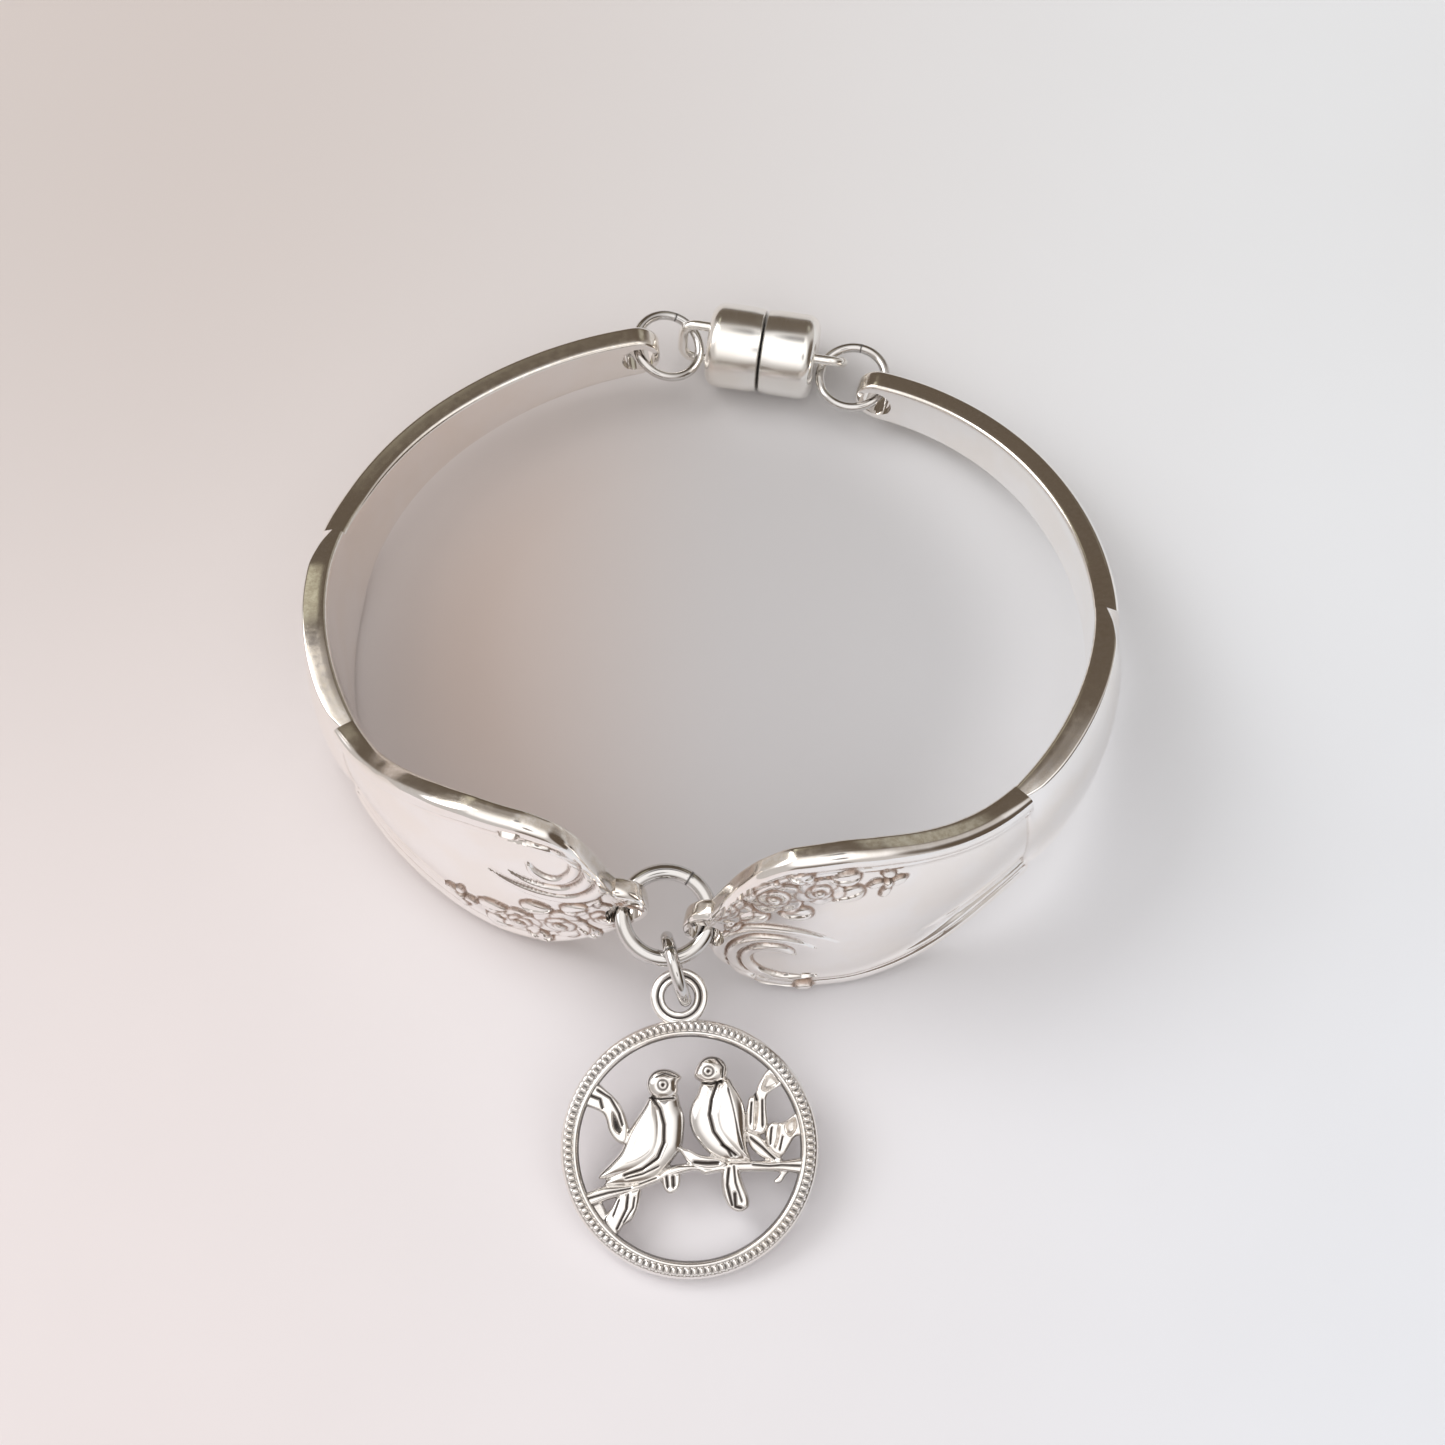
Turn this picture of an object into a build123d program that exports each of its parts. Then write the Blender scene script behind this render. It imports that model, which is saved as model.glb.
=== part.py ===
from build123d import *
from collections import namedtuple
import math
import os

# Spoon handle bracelet: two curved spoon handles joined at the front by a
# large jump ring with a round bird charm, and at the back by two small jump
# rings and a magnetic barrel clasp. Millimetres, +Z up, wrist axis upright,
# charm towards -Y, lying at rest on the plane Z = 0.

# Spoon handles
handle_length = 84.7
broad_length = 28.8
lens_length = 19.8
broad_width = 20.2
lens_width = 12.2
shank_wide = 9.2
shank_end_width = 4.4
thickness = 2.0
edge_round = 0.32
tip_radius = 2.9
tip_edge_round = 0.29
tip_hole_diameter = 2.8
tip_hole_setback = 1.95
right_tip_drop = 2.1
left_tip_drop = 1.7
end_hole_diameter = 2.8
end_hole_setback = 1.95

# Raised ornament on the broad ends
relief_height = 0.35
relief_root = 0.5
line_width = 0.5
line_crest_share = 0.35
line_end_share = 0.45
border_inset = 0.75
border_pitch = 1.15
border_steps = 5
scroll_radius = 4.3
scroll_line_width = 1.3
scroll_setback = 0.5
scroll_drop = 1.2
scroll_end_share = 0.4
scroll_lead = 0.12
rose_radius = 1.55
petals_per_rose = 5
petal_phase = 0.35
petal_reach = 0.62
petal_share = 0.42
heart_share = 0.45
heart_lift = 1.7
bead_radius = 0.5
lobes_in_cluster = 4
lobe_phase = 0.5
lobe_reach = 1.3

# Border lines: which edge, how many pitches in, start and stop as shares of broad_length
BorderLine = namedtuple("BorderLine", "side pitches start stop")
BORDER_LINES = (
    BorderLine(1, 0, 0.46, 0.97),
    BorderLine(1, 1, 0.46, 0.97),
    BorderLine(-1, 0, 0.50, 0.97),
)

# Volute lines: angles in degrees, radii as shares of scroll_radius
VoluteLine = namedtuple(
    "VoluteLine", "start_angle stop_angle start_radius stop_radius width steps"
)
VOLUTE_LINES = (
    VoluteLine(75, 330, 1.00, 0.62, scroll_line_width, 10),
    VoluteLine(100, 300, 0.66, 0.40, line_width, 7),
)

# Roses: places as shares of broad_length and broad_width, size as a share of rose_radius
Rose = namedtuple("Rose", "along side size")
ROSES = (
    Rose(0.142, -0.064, 1.00),
    Rose(0.274, -0.208, 0.95),
    Rose(0.399, -0.257, 0.80),
)
CLUSTER = Rose(0.530, -0.235, 1.00)

# How each handle is bent: share of its length and turn in degrees
Bend = namedtuple("Bend", "length_share turn")
RIGHT_BENDS = (
    Bend(0.10, 13.9),
    Bend(0.12, 17.3),
    Bend(0.14, 29.0),
    Bend(0.20, 36.3),
    Bend(0.22, 39.2),
    Bend(0.22, 41.3),
)
LEFT_BENDS = (
    Bend(0.10, 19.5),
    Bend(0.12, 21.9),
    Bend(0.14, 28.2),
    Bend(0.20, 35.9),
    Bend(0.22, 41.1),
    Bend(0.22, 32.3),
)

# How each handle lies: heading of its tip and lean of its width, in degrees
right_heading = -11.3
left_heading = 185.0
right_lean = (-2.1, 8.8)
left_lean = (-5.0, 6.4)
front_slope = -14.0

# Sections of the broad end: place as a share of broad_length, half widths as
# shares of broad_width, edge and crown as shares of thickness, and the share
# of the arm's tip drop by which the section is moved
BroadSection = namedtuple("BroadSection", "along rose_side scroll_side edge crown drop")
BROAD_SECTIONS = (
    BroadSection(0.085, 0.155, 0.155, 0.84, 0.02, 1.00),
    BroadSection(0.120, 0.230, 0.290, 0.85, 0.05, 0.70),
    BroadSection(0.165, 0.305, 0.425, 0.86, 0.08, 0.35),
    BroadSection(0.230, 0.385, 0.510, 0.88, 0.12, 0.10),
    BroadSection(0.320, 0.447, 0.545, 0.92, 0.15, 0.00),
    BroadSection(0.430, 0.456, 0.548, 0.96, 0.17, 0.00),
    BroadSection(0.550, 0.424, 0.515, 1.00, 0.18, 0.00),
    BroadSection(0.670, 0.372, 0.452, 1.00, 0.18, 0.00),
    BroadSection(0.785, 0.327, 0.372, 1.00, 0.18, 0.00),
    BroadSection(0.895, 0.296, 0.309, 1.00, 0.18, 0.00),
    BroadSection(1.000, 0.282, 0.282, 1.00, 0.18, 0.00),
)

# Sections of the lens: place as a share of lens_length, half width as a share
# of lens_width, edge and crown as shares of thickness
LensSection = namedtuple("LensSection", "along half_width edge crown")
LENS_SECTIONS = (
    LensSection(0.00, 0.450, 0.66, 0.44),
    LensSection(0.09, 0.465, 0.88, 0.40),
    LensSection(0.22, 0.480, 0.97, 0.38),
    LensSection(0.50, 0.500, 1.00, 0.38),
    LensSection(0.78, 0.475, 0.97, 0.36),
    LensSection(0.91, 0.440, 0.80, 0.40),
    LensSection(1.00, 0.410, 0.56, 0.46),
)

# Sections of the shank: place as a share of its length, how much of the
# difference between its wide end and its narrow end is left, and crown
ShankSection = namedtuple("ShankSection", "along spread crown")
SHANK_SECTIONS = (
    ShankSection(0.00, 1.00, 0.14),
    ShankSection(0.16, 0.57, 0.12),
    ShankSection(0.42, 0.27, 0.09),
    ShankSection(0.70, 0.10, 0.06),
    ShankSection(1.00, 0.00, 0.03),
)

# Round end of the shank: sections at these shares of its radius
END_ROUNDING = (0.00, 0.40, 0.72, 0.90, 0.975)

# Jump rings: outer diameter and wire
front_ring_diameter = 8.0
front_ring_wire = 1.27
back_ring_diameter = 6.4
back_ring_wire = 0.8
charm_ring_diameter = 6.0
charm_ring_wire = 1.0
front_ring_tilt = 9.0
left_ring_tilt = 12.0
right_ring_tilt = 6.0
ring_slack = 0.12

# The charm ring hangs this far round the front ring from its lowest point, in
# degrees, and leans this way; the bail hangs from it this way
charm_ring_place = 23.5
charm_ring_axis = (0.961, 0.265, 0.091)
charm_ring_hang = (0.24, -0.59, -0.77)
charm_ring_hang_share = 0.75
bail_hang = (0.18, -0.34, -0.92)
bail_hang_share = 0.36

# Magnetic clasp
clasp_diameter = 7.2
clasp_body_length = 9.2
clasp_seam = 0.14
collar_length = 1.1
collar_diameter = 6.9
collar_chamfer = 0.15
shoulder_round = 1.1
loop_wire = 0.85
loop_reach = 2.7
loop_width = 4.4
loop_corner = 1.15
loop_root = 0.5
left_loop_lean = 20.0
right_loop_lean = 30.0
clasp_bow = 2.6

# Bird charm
charm_diameter = 19.6
charm_rim_width = 1.35
charm_thickness = 1.8
rim_round = 0.2
reed_count = 110
reed_width = 0.26
reed_depth = 0.22
reed_length = 0.8
bail_diameter = 4.45
bail_hole = 2.3
bail_thickness = 1.3
bail_round = 0.3
bail_rise = 11.5
bird_depth = 1.0
back_depth = 0.7
twig_diameter = 0.85
leaf_thickness = 0.8
leaf_middle = 0.55
leaf_rib_stop = 0.85
leaf_rib_share = 0.14
eye_diameter = 0.42
beak_diameter = 0.52
charm_turn = 4.2
art_turn = -4.8

# Bodies, wings and heads of the birds: places and half sizes as shares of the
# charm's radius, depth as a share of bird_depth, angle in degrees
Egg = namedtuple("Egg", "x y length width depth angle")
EGGS = (
    Egg(-0.250, 0.130, 0.285, 0.195, 1.00, 66),
    Egg(-0.415, 0.030, 0.400, 0.120, 0.95, 51),
    Egg(-0.208, 0.497, 0.135, 0.112, 0.95, 0),
    Egg(0.205, 0.185, 0.310, 0.200, 1.00, 112),
    Egg(0.330, 0.190, 0.330, 0.105, 0.95, 109),
    Egg(0.160, 0.600, 0.128, 0.115, 0.95, 0),
    Egg(0.165, 0.500, 0.120, 0.105, 0.95, 90),
)
EYES = ((-0.215, 0.480), (0.135, 0.605))

# Rods between two places, as shares of the charm's radius
BEAKS = (((-0.130, 0.510), (-0.075, 0.520)), ((0.075, 0.585), (0.040, 0.590)))
BRANCH = ((-0.900, -0.370), (-0.500, -0.320), (-0.110, -0.200), (0.250, -0.140), (0.930, -0.125))

# Twigs: two places and a share of twig_diameter
Twig = namedtuple("Twig", "start stop thickness")
TWIGS = (
    Twig((-0.880, 0.410), (-0.650, 0.330), 0.70),
    Twig((0.620, 0.630), (0.500, 0.300), 0.75),
    Twig((0.500, 0.300), (0.640, -0.020), 0.75),
    Twig((0.880, 0.300), (0.640, -0.020), 0.70),
    Twig((0.470, 0.080), (0.740, -0.100), 0.75),
    Twig((0.900, 0.130), (0.740, 0.050), 0.60),
    Twig((0.660, -0.150), (0.720, -0.260), 0.60),
)

# Leaves and the right bird's tail: base, tip and width as shares of the charm's radius
Leaf = namedtuple("Leaf", "base tip width")
LEAVES = (
    Leaf((0.300, -0.110), (0.430, -0.475), 0.22),
    Leaf((-0.760, 0.480), (-0.490, 0.060), 0.21),
    Leaf((-0.380, -0.300), (-0.560, -0.700), 0.25),
    Leaf((-0.760, -0.450), (-0.560, -0.620), 0.14),
    Leaf((-0.150, -0.200), (-0.150, -0.370), 0.17),
    Leaf((0.620, 0.630), (0.520, 0.230), 0.22),
    Leaf((0.600, 0.230), (0.700, -0.060), 0.18),
)

os.makedirs("parts", exist_ok=True)


def bend_point(bends, side, along):
    """Plan point and heading in degrees at a length along a bent handle."""
    x, y, heading = 0.0, 0.0, 0.0
    left = along
    for bend in bends:
        span = bend.length_share * handle_length
        run = left if bend is bends[-1] else min(left, span)
        radius = span / math.radians(bend.turn)
        swept = math.radians(side * bend.turn) * run / span
        start = math.radians(heading)
        x += side * radius * (math.sin(start + swept) - math.sin(start))
        y -= side * radius * (math.cos(start + swept) - math.cos(start))
        heading += math.degrees(swept)
        left -= run
        if left <= 0:
            break
    return x, y, heading


class Arm:
    """One bent handle: side is 1 for the right handle and -1 for the left."""

    def __init__(self, bends, side, plane, tip_drop):
        self.bends = bends
        self.side = side
        self.plane = plane
        self.tip_drop = tip_drop

    def section(self, along):
        """Plane across the handle: x is outward, y to the scroll side, z onward."""
        x, y, heading = bend_point(self.bends, self.side, along)
        angle = math.radians(heading)
        onward = Vector(math.cos(angle), math.sin(angle), 0)
        outward = Vector(self.side * math.sin(angle), -self.side * math.cos(angle), 0)
        origin = self.plane.from_local_coords(Vector(x, y, 0))
        world_onward = self.plane.from_local_coords(Vector(x, y, 0) + onward) - origin
        world_outward = self.plane.from_local_coords(Vector(x, y, 0) + outward) - origin
        return Plane(origin, x_dir=world_outward, z_dir=world_onward)

    def place(self, along, scroll_side, out):
        """Point at a length along, a distance to the scroll side and a height out."""
        return self.section(along).from_local_coords(Vector(out, scroll_side, 0))

    def hole(self, along, scroll_side):
        """Plane at the middle of the wall, its z along a hole's axis."""
        frame = self.section(along)
        origin = frame.from_local_coords(Vector(-thickness / 2, scroll_side, 0))
        return Plane(origin, x_dir=frame.z_dir, z_dir=frame.x_dir)

    def tip_hole(self):
        return self.hole(tip_hole_setback, self.tip_drop)

    def end_hole(self):
        return self.hole(handle_length - end_hole_setback, 0)


def leaning_plane(point, heading, lean):
    """Plane whose normal leans by two angles and whose x runs along a heading."""
    up = Vector(math.tan(math.radians(lean[0])), math.tan(math.radians(lean[1])), 1).normalized()
    level = Plane(point, x_dir=Vector(1, 0, 0) - up * up.X, z_dir=up)
    turn = math.radians(heading)
    ahead = level.x_dir * math.cos(turn) + level.y_dir * math.sin(turn)
    return Plane(point, x_dir=ahead, z_dir=up)


def wall_section(arm, along, rose_half, scroll_half, edge, crown):
    """Closed section of lines and arcs: flat back, straight edges, crowned face."""
    back = -thickness
    top = back + edge * thickness
    face = top + crown * thickness
    low, high = -rose_half, scroll_half
    r = edge_round
    bow = r * (1 - math.sqrt(0.5))
    with BuildLine(arm.section(along)) as outline:
        Line((back, low + r), (back, high - r))
        ThreePointArc((back, high - r), (back + bow, high - bow), (back + r, high))
        Line((back + r, high), (top - r, high))
        ThreePointArc((top - r, high), (top - bow, high - bow), (top, high - r))
        ThreePointArc((top, high - r), (face, (low + high) / 2), (top, low + r))
        ThreePointArc((top, low + r), (top - bow, low + bow), (top - r, low))
        Line((top - r, low), (back + r, low))
        ThreePointArc((back + r, low), (back + bow, low + bow), (back, low + r))
    return make_face(outline.line).face()


def rounded_tip(arm):
    """Round tip of the broad end: an upright disc whose edges are rounded."""
    wall = thickness * BROAD_SECTIONS[0].edge
    frame = arm.section(tip_radius)
    origin = frame.from_local_coords(Vector(-thickness + wall / 2, arm.tip_drop, 0))
    disc = Plane(origin, x_dir=frame.z_dir, z_dir=frame.x_dir) * Cylinder(tip_radius, wall)
    return fillet(disc.edges().filter_by(GeomType.CIRCLE), tip_edge_round)


def broad_section(along):
    """Section of the broad end at a length along, between the table's rows."""
    share = along / broad_length
    for low, high in zip(BROAD_SECTIONS, BROAD_SECTIONS[1:]):
        if share <= high.along:
            break
    blend = (share - low.along) / (high.along - low.along)
    return BroadSection(*(a + (b - a) * blend for a, b in zip(low, high)))


def face_height(along, scroll_side):
    """Height of the crowned face above the wall's outer edge line."""
    section = broad_section(along)
    middle = (section.scroll_side - section.rose_side) / 2 * broad_width
    half = (section.scroll_side + section.rose_side) / 2 * broad_width
    offset = min(1.0, abs(scroll_side - middle) / half)
    return (section.edge - 1 + section.crown * (1 - offset ** 2)) * thickness


def ridge(arm, path, width):
    """Raised line on the face through (along, scroll_side, width_share) points."""
    sections = []
    for index, (along, side, share) in enumerate(path):
        before = path[max(index - 1, 0)]
        after = path[min(index + 1, len(path) - 1)]
        run = Vector(after[0] - before[0], after[1] - before[1], 0).normalized()
        frame = arm.section(along)
        origin = frame.from_local_coords(Vector(face_height(along, side), side, 0))
        onward = frame.z_dir * run.X + frame.y_dir * run.Y
        half = width * share / 2
        crest = relief_height * (1 + share) / 2
        with BuildSketch(Plane(origin, x_dir=frame.x_dir, z_dir=onward)) as profile:
            with BuildLine():
                Polyline(
                    (-relief_root, -half), (0, -half), (crest, -half * line_crest_share),
                    (crest, half * line_crest_share), (0, half), (-relief_root, half), close=True,
                )
            make_face()
        sections.append(profile.sketch.face())
    return loft(sections, ruled=True)


def border_path(line):
    """Line that keeps an inset from one edge of the broad end."""
    path = []
    inset = border_inset + line.pitches * border_pitch
    for step in range(border_steps + 1):
        along = (line.start + (line.stop - line.start) * step / border_steps) * broad_length
        section = broad_section(along)
        half = section.scroll_side if line.side > 0 else section.rose_side
        share = line_end_share if step in (0, border_steps) else 1.0
        path.append((along, line.side * (half * broad_width - inset), share))
    return path


def volute_path(line):
    """Volute whose radius shrinks evenly with its angle."""
    centre_along = tip_radius + scroll_radius + scroll_setback
    centre_side = scroll_radius + scroll_drop
    path = []
    for step in range(line.steps + 1):
        blend = step / line.steps
        angle = math.radians(line.start_angle + (line.stop_angle - line.start_angle) * blend)
        radius = (line.start_radius + (line.stop_radius - line.start_radius) * blend) * scroll_radius
        swell = math.sin(math.pi * min(1.0, scroll_lead + blend))
        share = scroll_end_share + (1 - scroll_end_share) * swell
        along = centre_along + radius * math.cos(angle)
        path.append((along, centre_side + radius * math.sin(angle), share))
    return path


def dome(arm, along, side, radius, height):
    """Low bead on the face."""
    ball = (radius ** 2 + height ** 2) / (2 * height)
    centre = arm.place(along, side, face_height(along, side) + height - ball)
    frame = arm.section(along)
    cut = Plane(centre + frame.x_dir * (ball - height - relief_root), x_dir=frame.z_dir, z_dir=frame.x_dir)
    sphere = Location(centre) * Sphere(ball)
    slab = cut * Cylinder(radius, relief_root + height * 2, align=(Align.CENTER, Align.CENTER, Align.MIN))
    return (sphere & slab).solid()


def petals(arm, along, side, count, phase, reach, radius):
    """Ring of low beads round a place on the face."""
    beads = []
    for petal in range(count):
        angle = 2 * math.pi * (petal + phase) / count
        spot = (along + reach * math.cos(angle), side + reach * math.sin(angle))
        beads.append(dome(arm, *spot, radius, relief_height))
    return beads


def ornament(arm):
    """Raised border lines, volute, roses and flower cluster of one broad end."""
    pieces = [ridge(arm, border_path(line), line_width) for line in BORDER_LINES]
    pieces += [ridge(arm, volute_path(line), line.width) for line in VOLUTE_LINES]
    for rose in ROSES:
        along, side = rose.along * broad_length, rose.side * broad_width
        radius = rose_radius * rose.size
        pieces.append(dome(arm, along, side, radius * heart_share, relief_height * heart_lift))
        reach, petal_radius = radius * petal_reach, radius * petal_share
        pieces += petals(arm, along, side, petals_per_rose, petal_phase, reach, petal_radius)
    along, side = CLUSTER.along * broad_length, CLUSTER.side * broad_width
    pieces += petals(arm, along, side, lobes_in_cluster, lobe_phase, bead_radius * lobe_reach, bead_radius)
    return pieces


def handle(arm):
    """One bent spoon handle, drilled at both ends."""
    broad = []
    for section in BROAD_SECTIONS:
        shift = section.drop * arm.tip_drop
        rose_half = section.rose_side * broad_width - shift
        scroll_half = section.scroll_side * broad_width + shift
        along = section.along * broad_length
        broad.append(wall_section(arm, along, rose_half, scroll_half, section.edge, section.crown))
    lens = []
    for section in LENS_SECTIONS:
        along = broad_length + section.along * lens_length
        half = section.half_width * lens_width
        lens.append(wall_section(arm, along, half, half, section.edge, section.crown))
    shank_start = broad_length + lens_length
    end_radius = shank_end_width / 2
    shank_length = handle_length - end_radius - shank_start
    spread = (shank_wide - shank_end_width) / 2
    shank = []
    for section in SHANK_SECTIONS:
        along = shank_start + section.along * shank_length
        half = end_radius + section.spread * spread
        shank.append(wall_section(arm, along, half, half, 1.0, section.crown))
    cap = []
    for share in END_ROUNDING:
        half = end_radius * math.sqrt(1 - share ** 2)
        along = shank_start + shank_length + share * end_radius
        cap.append(wall_section(arm, along, half, half, 1.0, SHANK_SECTIONS[-1].crown))
    body = loft(broad) + rounded_tip(arm) + loft(lens) + loft(shank) + loft(cap)
    drill_length = thickness * 3
    body -= arm.end_hole() * Cylinder(end_hole_diameter / 2, drill_length)
    for piece in ornament(arm):
        body += piece
    body -= arm.tip_hole() * Cylinder(tip_hole_diameter / 2, drill_length)
    return body.solid()


def ring(frame, diameter, wire):
    """Jump ring of round wire in a plane."""
    return frame * Torus((diameter - wire) / 2, wire / 2)


def tilted_plane(centre, along, tilt):
    """Plane through a direction, whose normal is tilted from upright towards -Y."""
    upright = Vector(0, -math.sin(math.radians(tilt)), math.cos(math.radians(tilt)))
    x_dir = along.normalized()
    normal = (upright - x_dir * upright.dot(x_dir)).normalized()
    return Plane(centre, x_dir=x_dir, z_dir=normal)


def on_floor(solid):
    """Height by which a solid has to move to stand on the plane Z = 0."""
    return -solid.bounding_box().min.Z


def plan_angle(vector):
    return math.atan2(vector.Y, vector.X)


def plan_length(vector):
    return math.hypot(vector.X, vector.Y)


def clasp_half(frame, outward, loop_lean):
    """Half of the barrel clasp: its axis is the frame's x, its loop is soldered on."""
    half = clasp_body_length / 2
    seam = clasp_seam / 2
    collar = collar_diameter / 2
    with BuildSketch(Plane.XZ) as profile:
        with BuildLine():
            Polyline(
                (seam, 0), (seam, collar - collar_chamfer), (seam + collar_chamfer, collar),
                (collar_length, clasp_diameter / 2), (half, clasp_diameter / 2), (half, 0), close=True,
            )
        make_face()
        end_corners = profile.vertices().group_by(Axis.X)[-1]
        fillet(max(end_corners, key=lambda corner: abs(corner.Y)), shoulder_round)
    barrel = revolve(profile.sketch, Axis.X)
    mean = (loop_width - loop_wire) / 2
    reach = half + loop_reach - loop_wire / 2
    root = half - loop_root
    with BuildLine(Plane.XY) as wire_path:
        FilletPolyline((root, -mean), (reach, -mean), (reach, mean), (root, mean), radius=loop_corner)
    loop = sweep(Plane((root, -mean, 0), z_dir=(1, 0, 0)) * Circle(loop_wire / 2), path=wire_path.wire())
    lean = Rot(90 - loop_lean, 0, 0)
    turn = Rot(0, 0, 0 if outward > 0 else 180)
    return (frame * turn * (barrel + lean * loop)).solid()


def rod(start, stop, radius):
    """Round rod with round ends between two points of the charm's plane."""
    run = Vector(*stop, 0) - Vector(*start, 0)
    bar = Plane(Vector(*start, 0), z_dir=run) * Cylinder(
        radius, run.length, align=(Align.CENTER, Align.CENTER, Align.MIN)
    )
    return bar + Pos(*start, 0) * Sphere(radius) + Pos(*stop, 0) * Sphere(radius)


def leaf(start, stop, width):
    """Pointed leaf with a raised midrib."""
    base, tip = Vector(*start, 0), Vector(*stop, 0)
    run = tip - base
    across = Vector(-run.Y, run.X, 0).normalized() * (width / 2)
    middle = base + run * leaf_middle
    with BuildSketch() as outline:
        with BuildLine():
            ThreePointArc(base, middle + across, tip)
            ThreePointArc(tip, middle - across, base)
        make_face()
    blade = extrude(outline.sketch, leaf_thickness / 2, both=True)
    rib_end = base + run * leaf_rib_stop
    rib = rod(start, (rib_end.X, rib_end.Y), width * leaf_rib_share)
    return blade + Pos(0, 0, leaf_thickness / 2) * rib


def charm_rim():
    """Flat ring whose upper face is cut into reeds."""
    radius = charm_diameter / 2
    inner = radius - charm_rim_width
    rim = Cylinder(radius, charm_thickness) - Cylinder(inner, charm_thickness)
    rim = fillet(rim.edges().filter_by(GeomType.CIRCLE), rim_round)
    reed = Box(reed_length, reed_width, reed_depth * 2)
    groove = Pos((radius + inner) / 2, 0, charm_thickness / 2) * reed
    return rim - [Rot(0, 0, 360 * n / reed_count) * groove for n in range(reed_count)]


def charm_art():
    """Two birds on a branch between leaves, with a flat back."""
    radius = charm_diameter / 2

    def at(place):
        return (place[0] * radius, place[1] * radius)

    pieces = []
    for egg in EGGS:
        size = (egg.length * radius, egg.width * radius, egg.depth * bird_depth)
        body = scale(Sphere(1), by=size)
        pieces.append(Pos(*at((egg.x, egg.y)), 0) * Rot(0, 0, egg.angle) * body)
    pieces += [rod(at(start), at(stop), beak_diameter / 2) for start, stop in BEAKS]
    pieces += [rod(at(start), at(stop), twig_diameter / 2) for start, stop in zip(BRANCH, BRANCH[1:])]
    for twig in TWIGS:
        pieces.append(rod(at(twig.start), at(twig.stop), twig.thickness * twig_diameter / 2))
    pieces += [leaf(at(blade.base), at(blade.tip), blade.width * radius) for blade in LEAVES]
    art = pieces[0]
    for piece in pieces[1:]:
        art += piece
    rim_middle = radius - charm_rim_width / 2
    room = extrude(Circle(rim_middle), back_depth + 2 * bird_depth)
    art &= Pos(0, 0, -back_depth) * room
    for eye in EYES:
        art -= Pos(*at(eye), bird_depth) * Sphere(eye_diameter / 2)
    return Rot(0, 0, art_turn) * art


def charm():
    """Round charm with its bail, cast in one piece."""
    bail = Cylinder(bail_diameter / 2, bail_thickness) - Cylinder(bail_hole / 2, bail_thickness)
    bail = Pos(0, bail_rise, 0) * fillet(bail.edges().filter_by(GeomType.CIRCLE), bail_round)
    return (charm_rim() + bail + charm_art()).solid()


def drilled_arm(bends, side, heading, lean, tip_drop, hole_at):
    """Arm whose tip hole is at a point of the plan."""
    arm = Arm(bends, side, leaning_plane(Vector(0, 0, 0), heading, lean), tip_drop)
    shift = hole_at - arm.tip_hole().origin
    shift.Z = 0
    arm.plane = Plane(Pos(shift) * arm.plane.location)
    return arm


# Plan of the loop: the front ring's centre is the plan's origin
front_mean = front_ring_diameter - front_ring_wire
hole_spacing = front_mean - ring_slack
slope = math.radians(front_slope)
front_line = Vector(math.cos(slope), math.sin(slope), 0)
half_spacing = front_line * (hole_spacing / 2)
right_arm = drilled_arm(RIGHT_BENDS, 1, right_heading, right_lean, right_tip_drop, half_spacing)
left_arm = drilled_arm(LEFT_BENDS, -1, left_heading, left_lean, -left_tip_drop, -half_spacing)

# The left handle turns about its tip hole until the clasp chain closes the loop
back_mean = back_ring_diameter - back_ring_wire
loop_middle = (loop_reach - loop_wire) / 2
chain_half = clasp_body_length / 2 + loop_middle
back_link = back_mean - ring_slack
back_spacing = 2 * (chain_half + math.sqrt(back_link ** 2 - clasp_bow ** 2))
left_tip = left_arm.tip_hole().origin
left_run = left_arm.end_hole().origin - left_tip
target_run = right_arm.end_hole().origin - left_tip
cosine = (plan_length(left_run) ** 2 + plan_length(target_run) ** 2 - back_spacing ** 2) / (
    2 * plan_length(left_run) * plan_length(target_run)
)
closing = plan_angle(target_run) + math.acos(cosine) - plan_angle(left_run)
turn = Pos(left_tip) * Rot(0, 0, math.degrees(closing)) * Pos(-left_tip)
left_arm.plane = Plane(turn * left_arm.plane.location)

# Each handle stands on the floor by its own lowest points
handles = {}
for name, arm in (("right_handle", right_arm), ("left_handle", left_arm)):
    bent = handle(arm)
    rise = Pos(0, 0, on_floor(bent))
    handles[name] = rise * bent
    arm.plane = Plane(rise * arm.plane.location)

# The front ring runs through both tip holes
right_tip = right_arm.tip_hole().origin
left_tip = left_arm.tip_hole().origin
front_plane = tilted_plane((right_tip + left_tip) / 2, right_tip - left_tip, front_ring_tilt)
front_ring = ring(front_plane, front_ring_diameter, front_ring_wire)

# The clasp lies on the floor, bowed out from the line between the end holes
right_end = right_arm.end_hole().origin
left_end = left_arm.end_hole().origin
chord = right_end - left_end
chord.Z = 0
clasp_x = chord.normalized()
bow_way = Vector(-clasp_x.Y, clasp_x.X, 0)
clasp_centre = (right_end + left_end) / 2 + bow_way * clasp_bow
clasp_centre.Z = clasp_diameter / 2
clasp_frame = Plane(clasp_centre, x_dir=clasp_x, z_dir=Vector(0, 0, 1))
clasp_right = clasp_half(clasp_frame, 1, right_loop_lean)
clasp_left = clasp_half(clasp_frame, -1, left_loop_lean)

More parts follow.
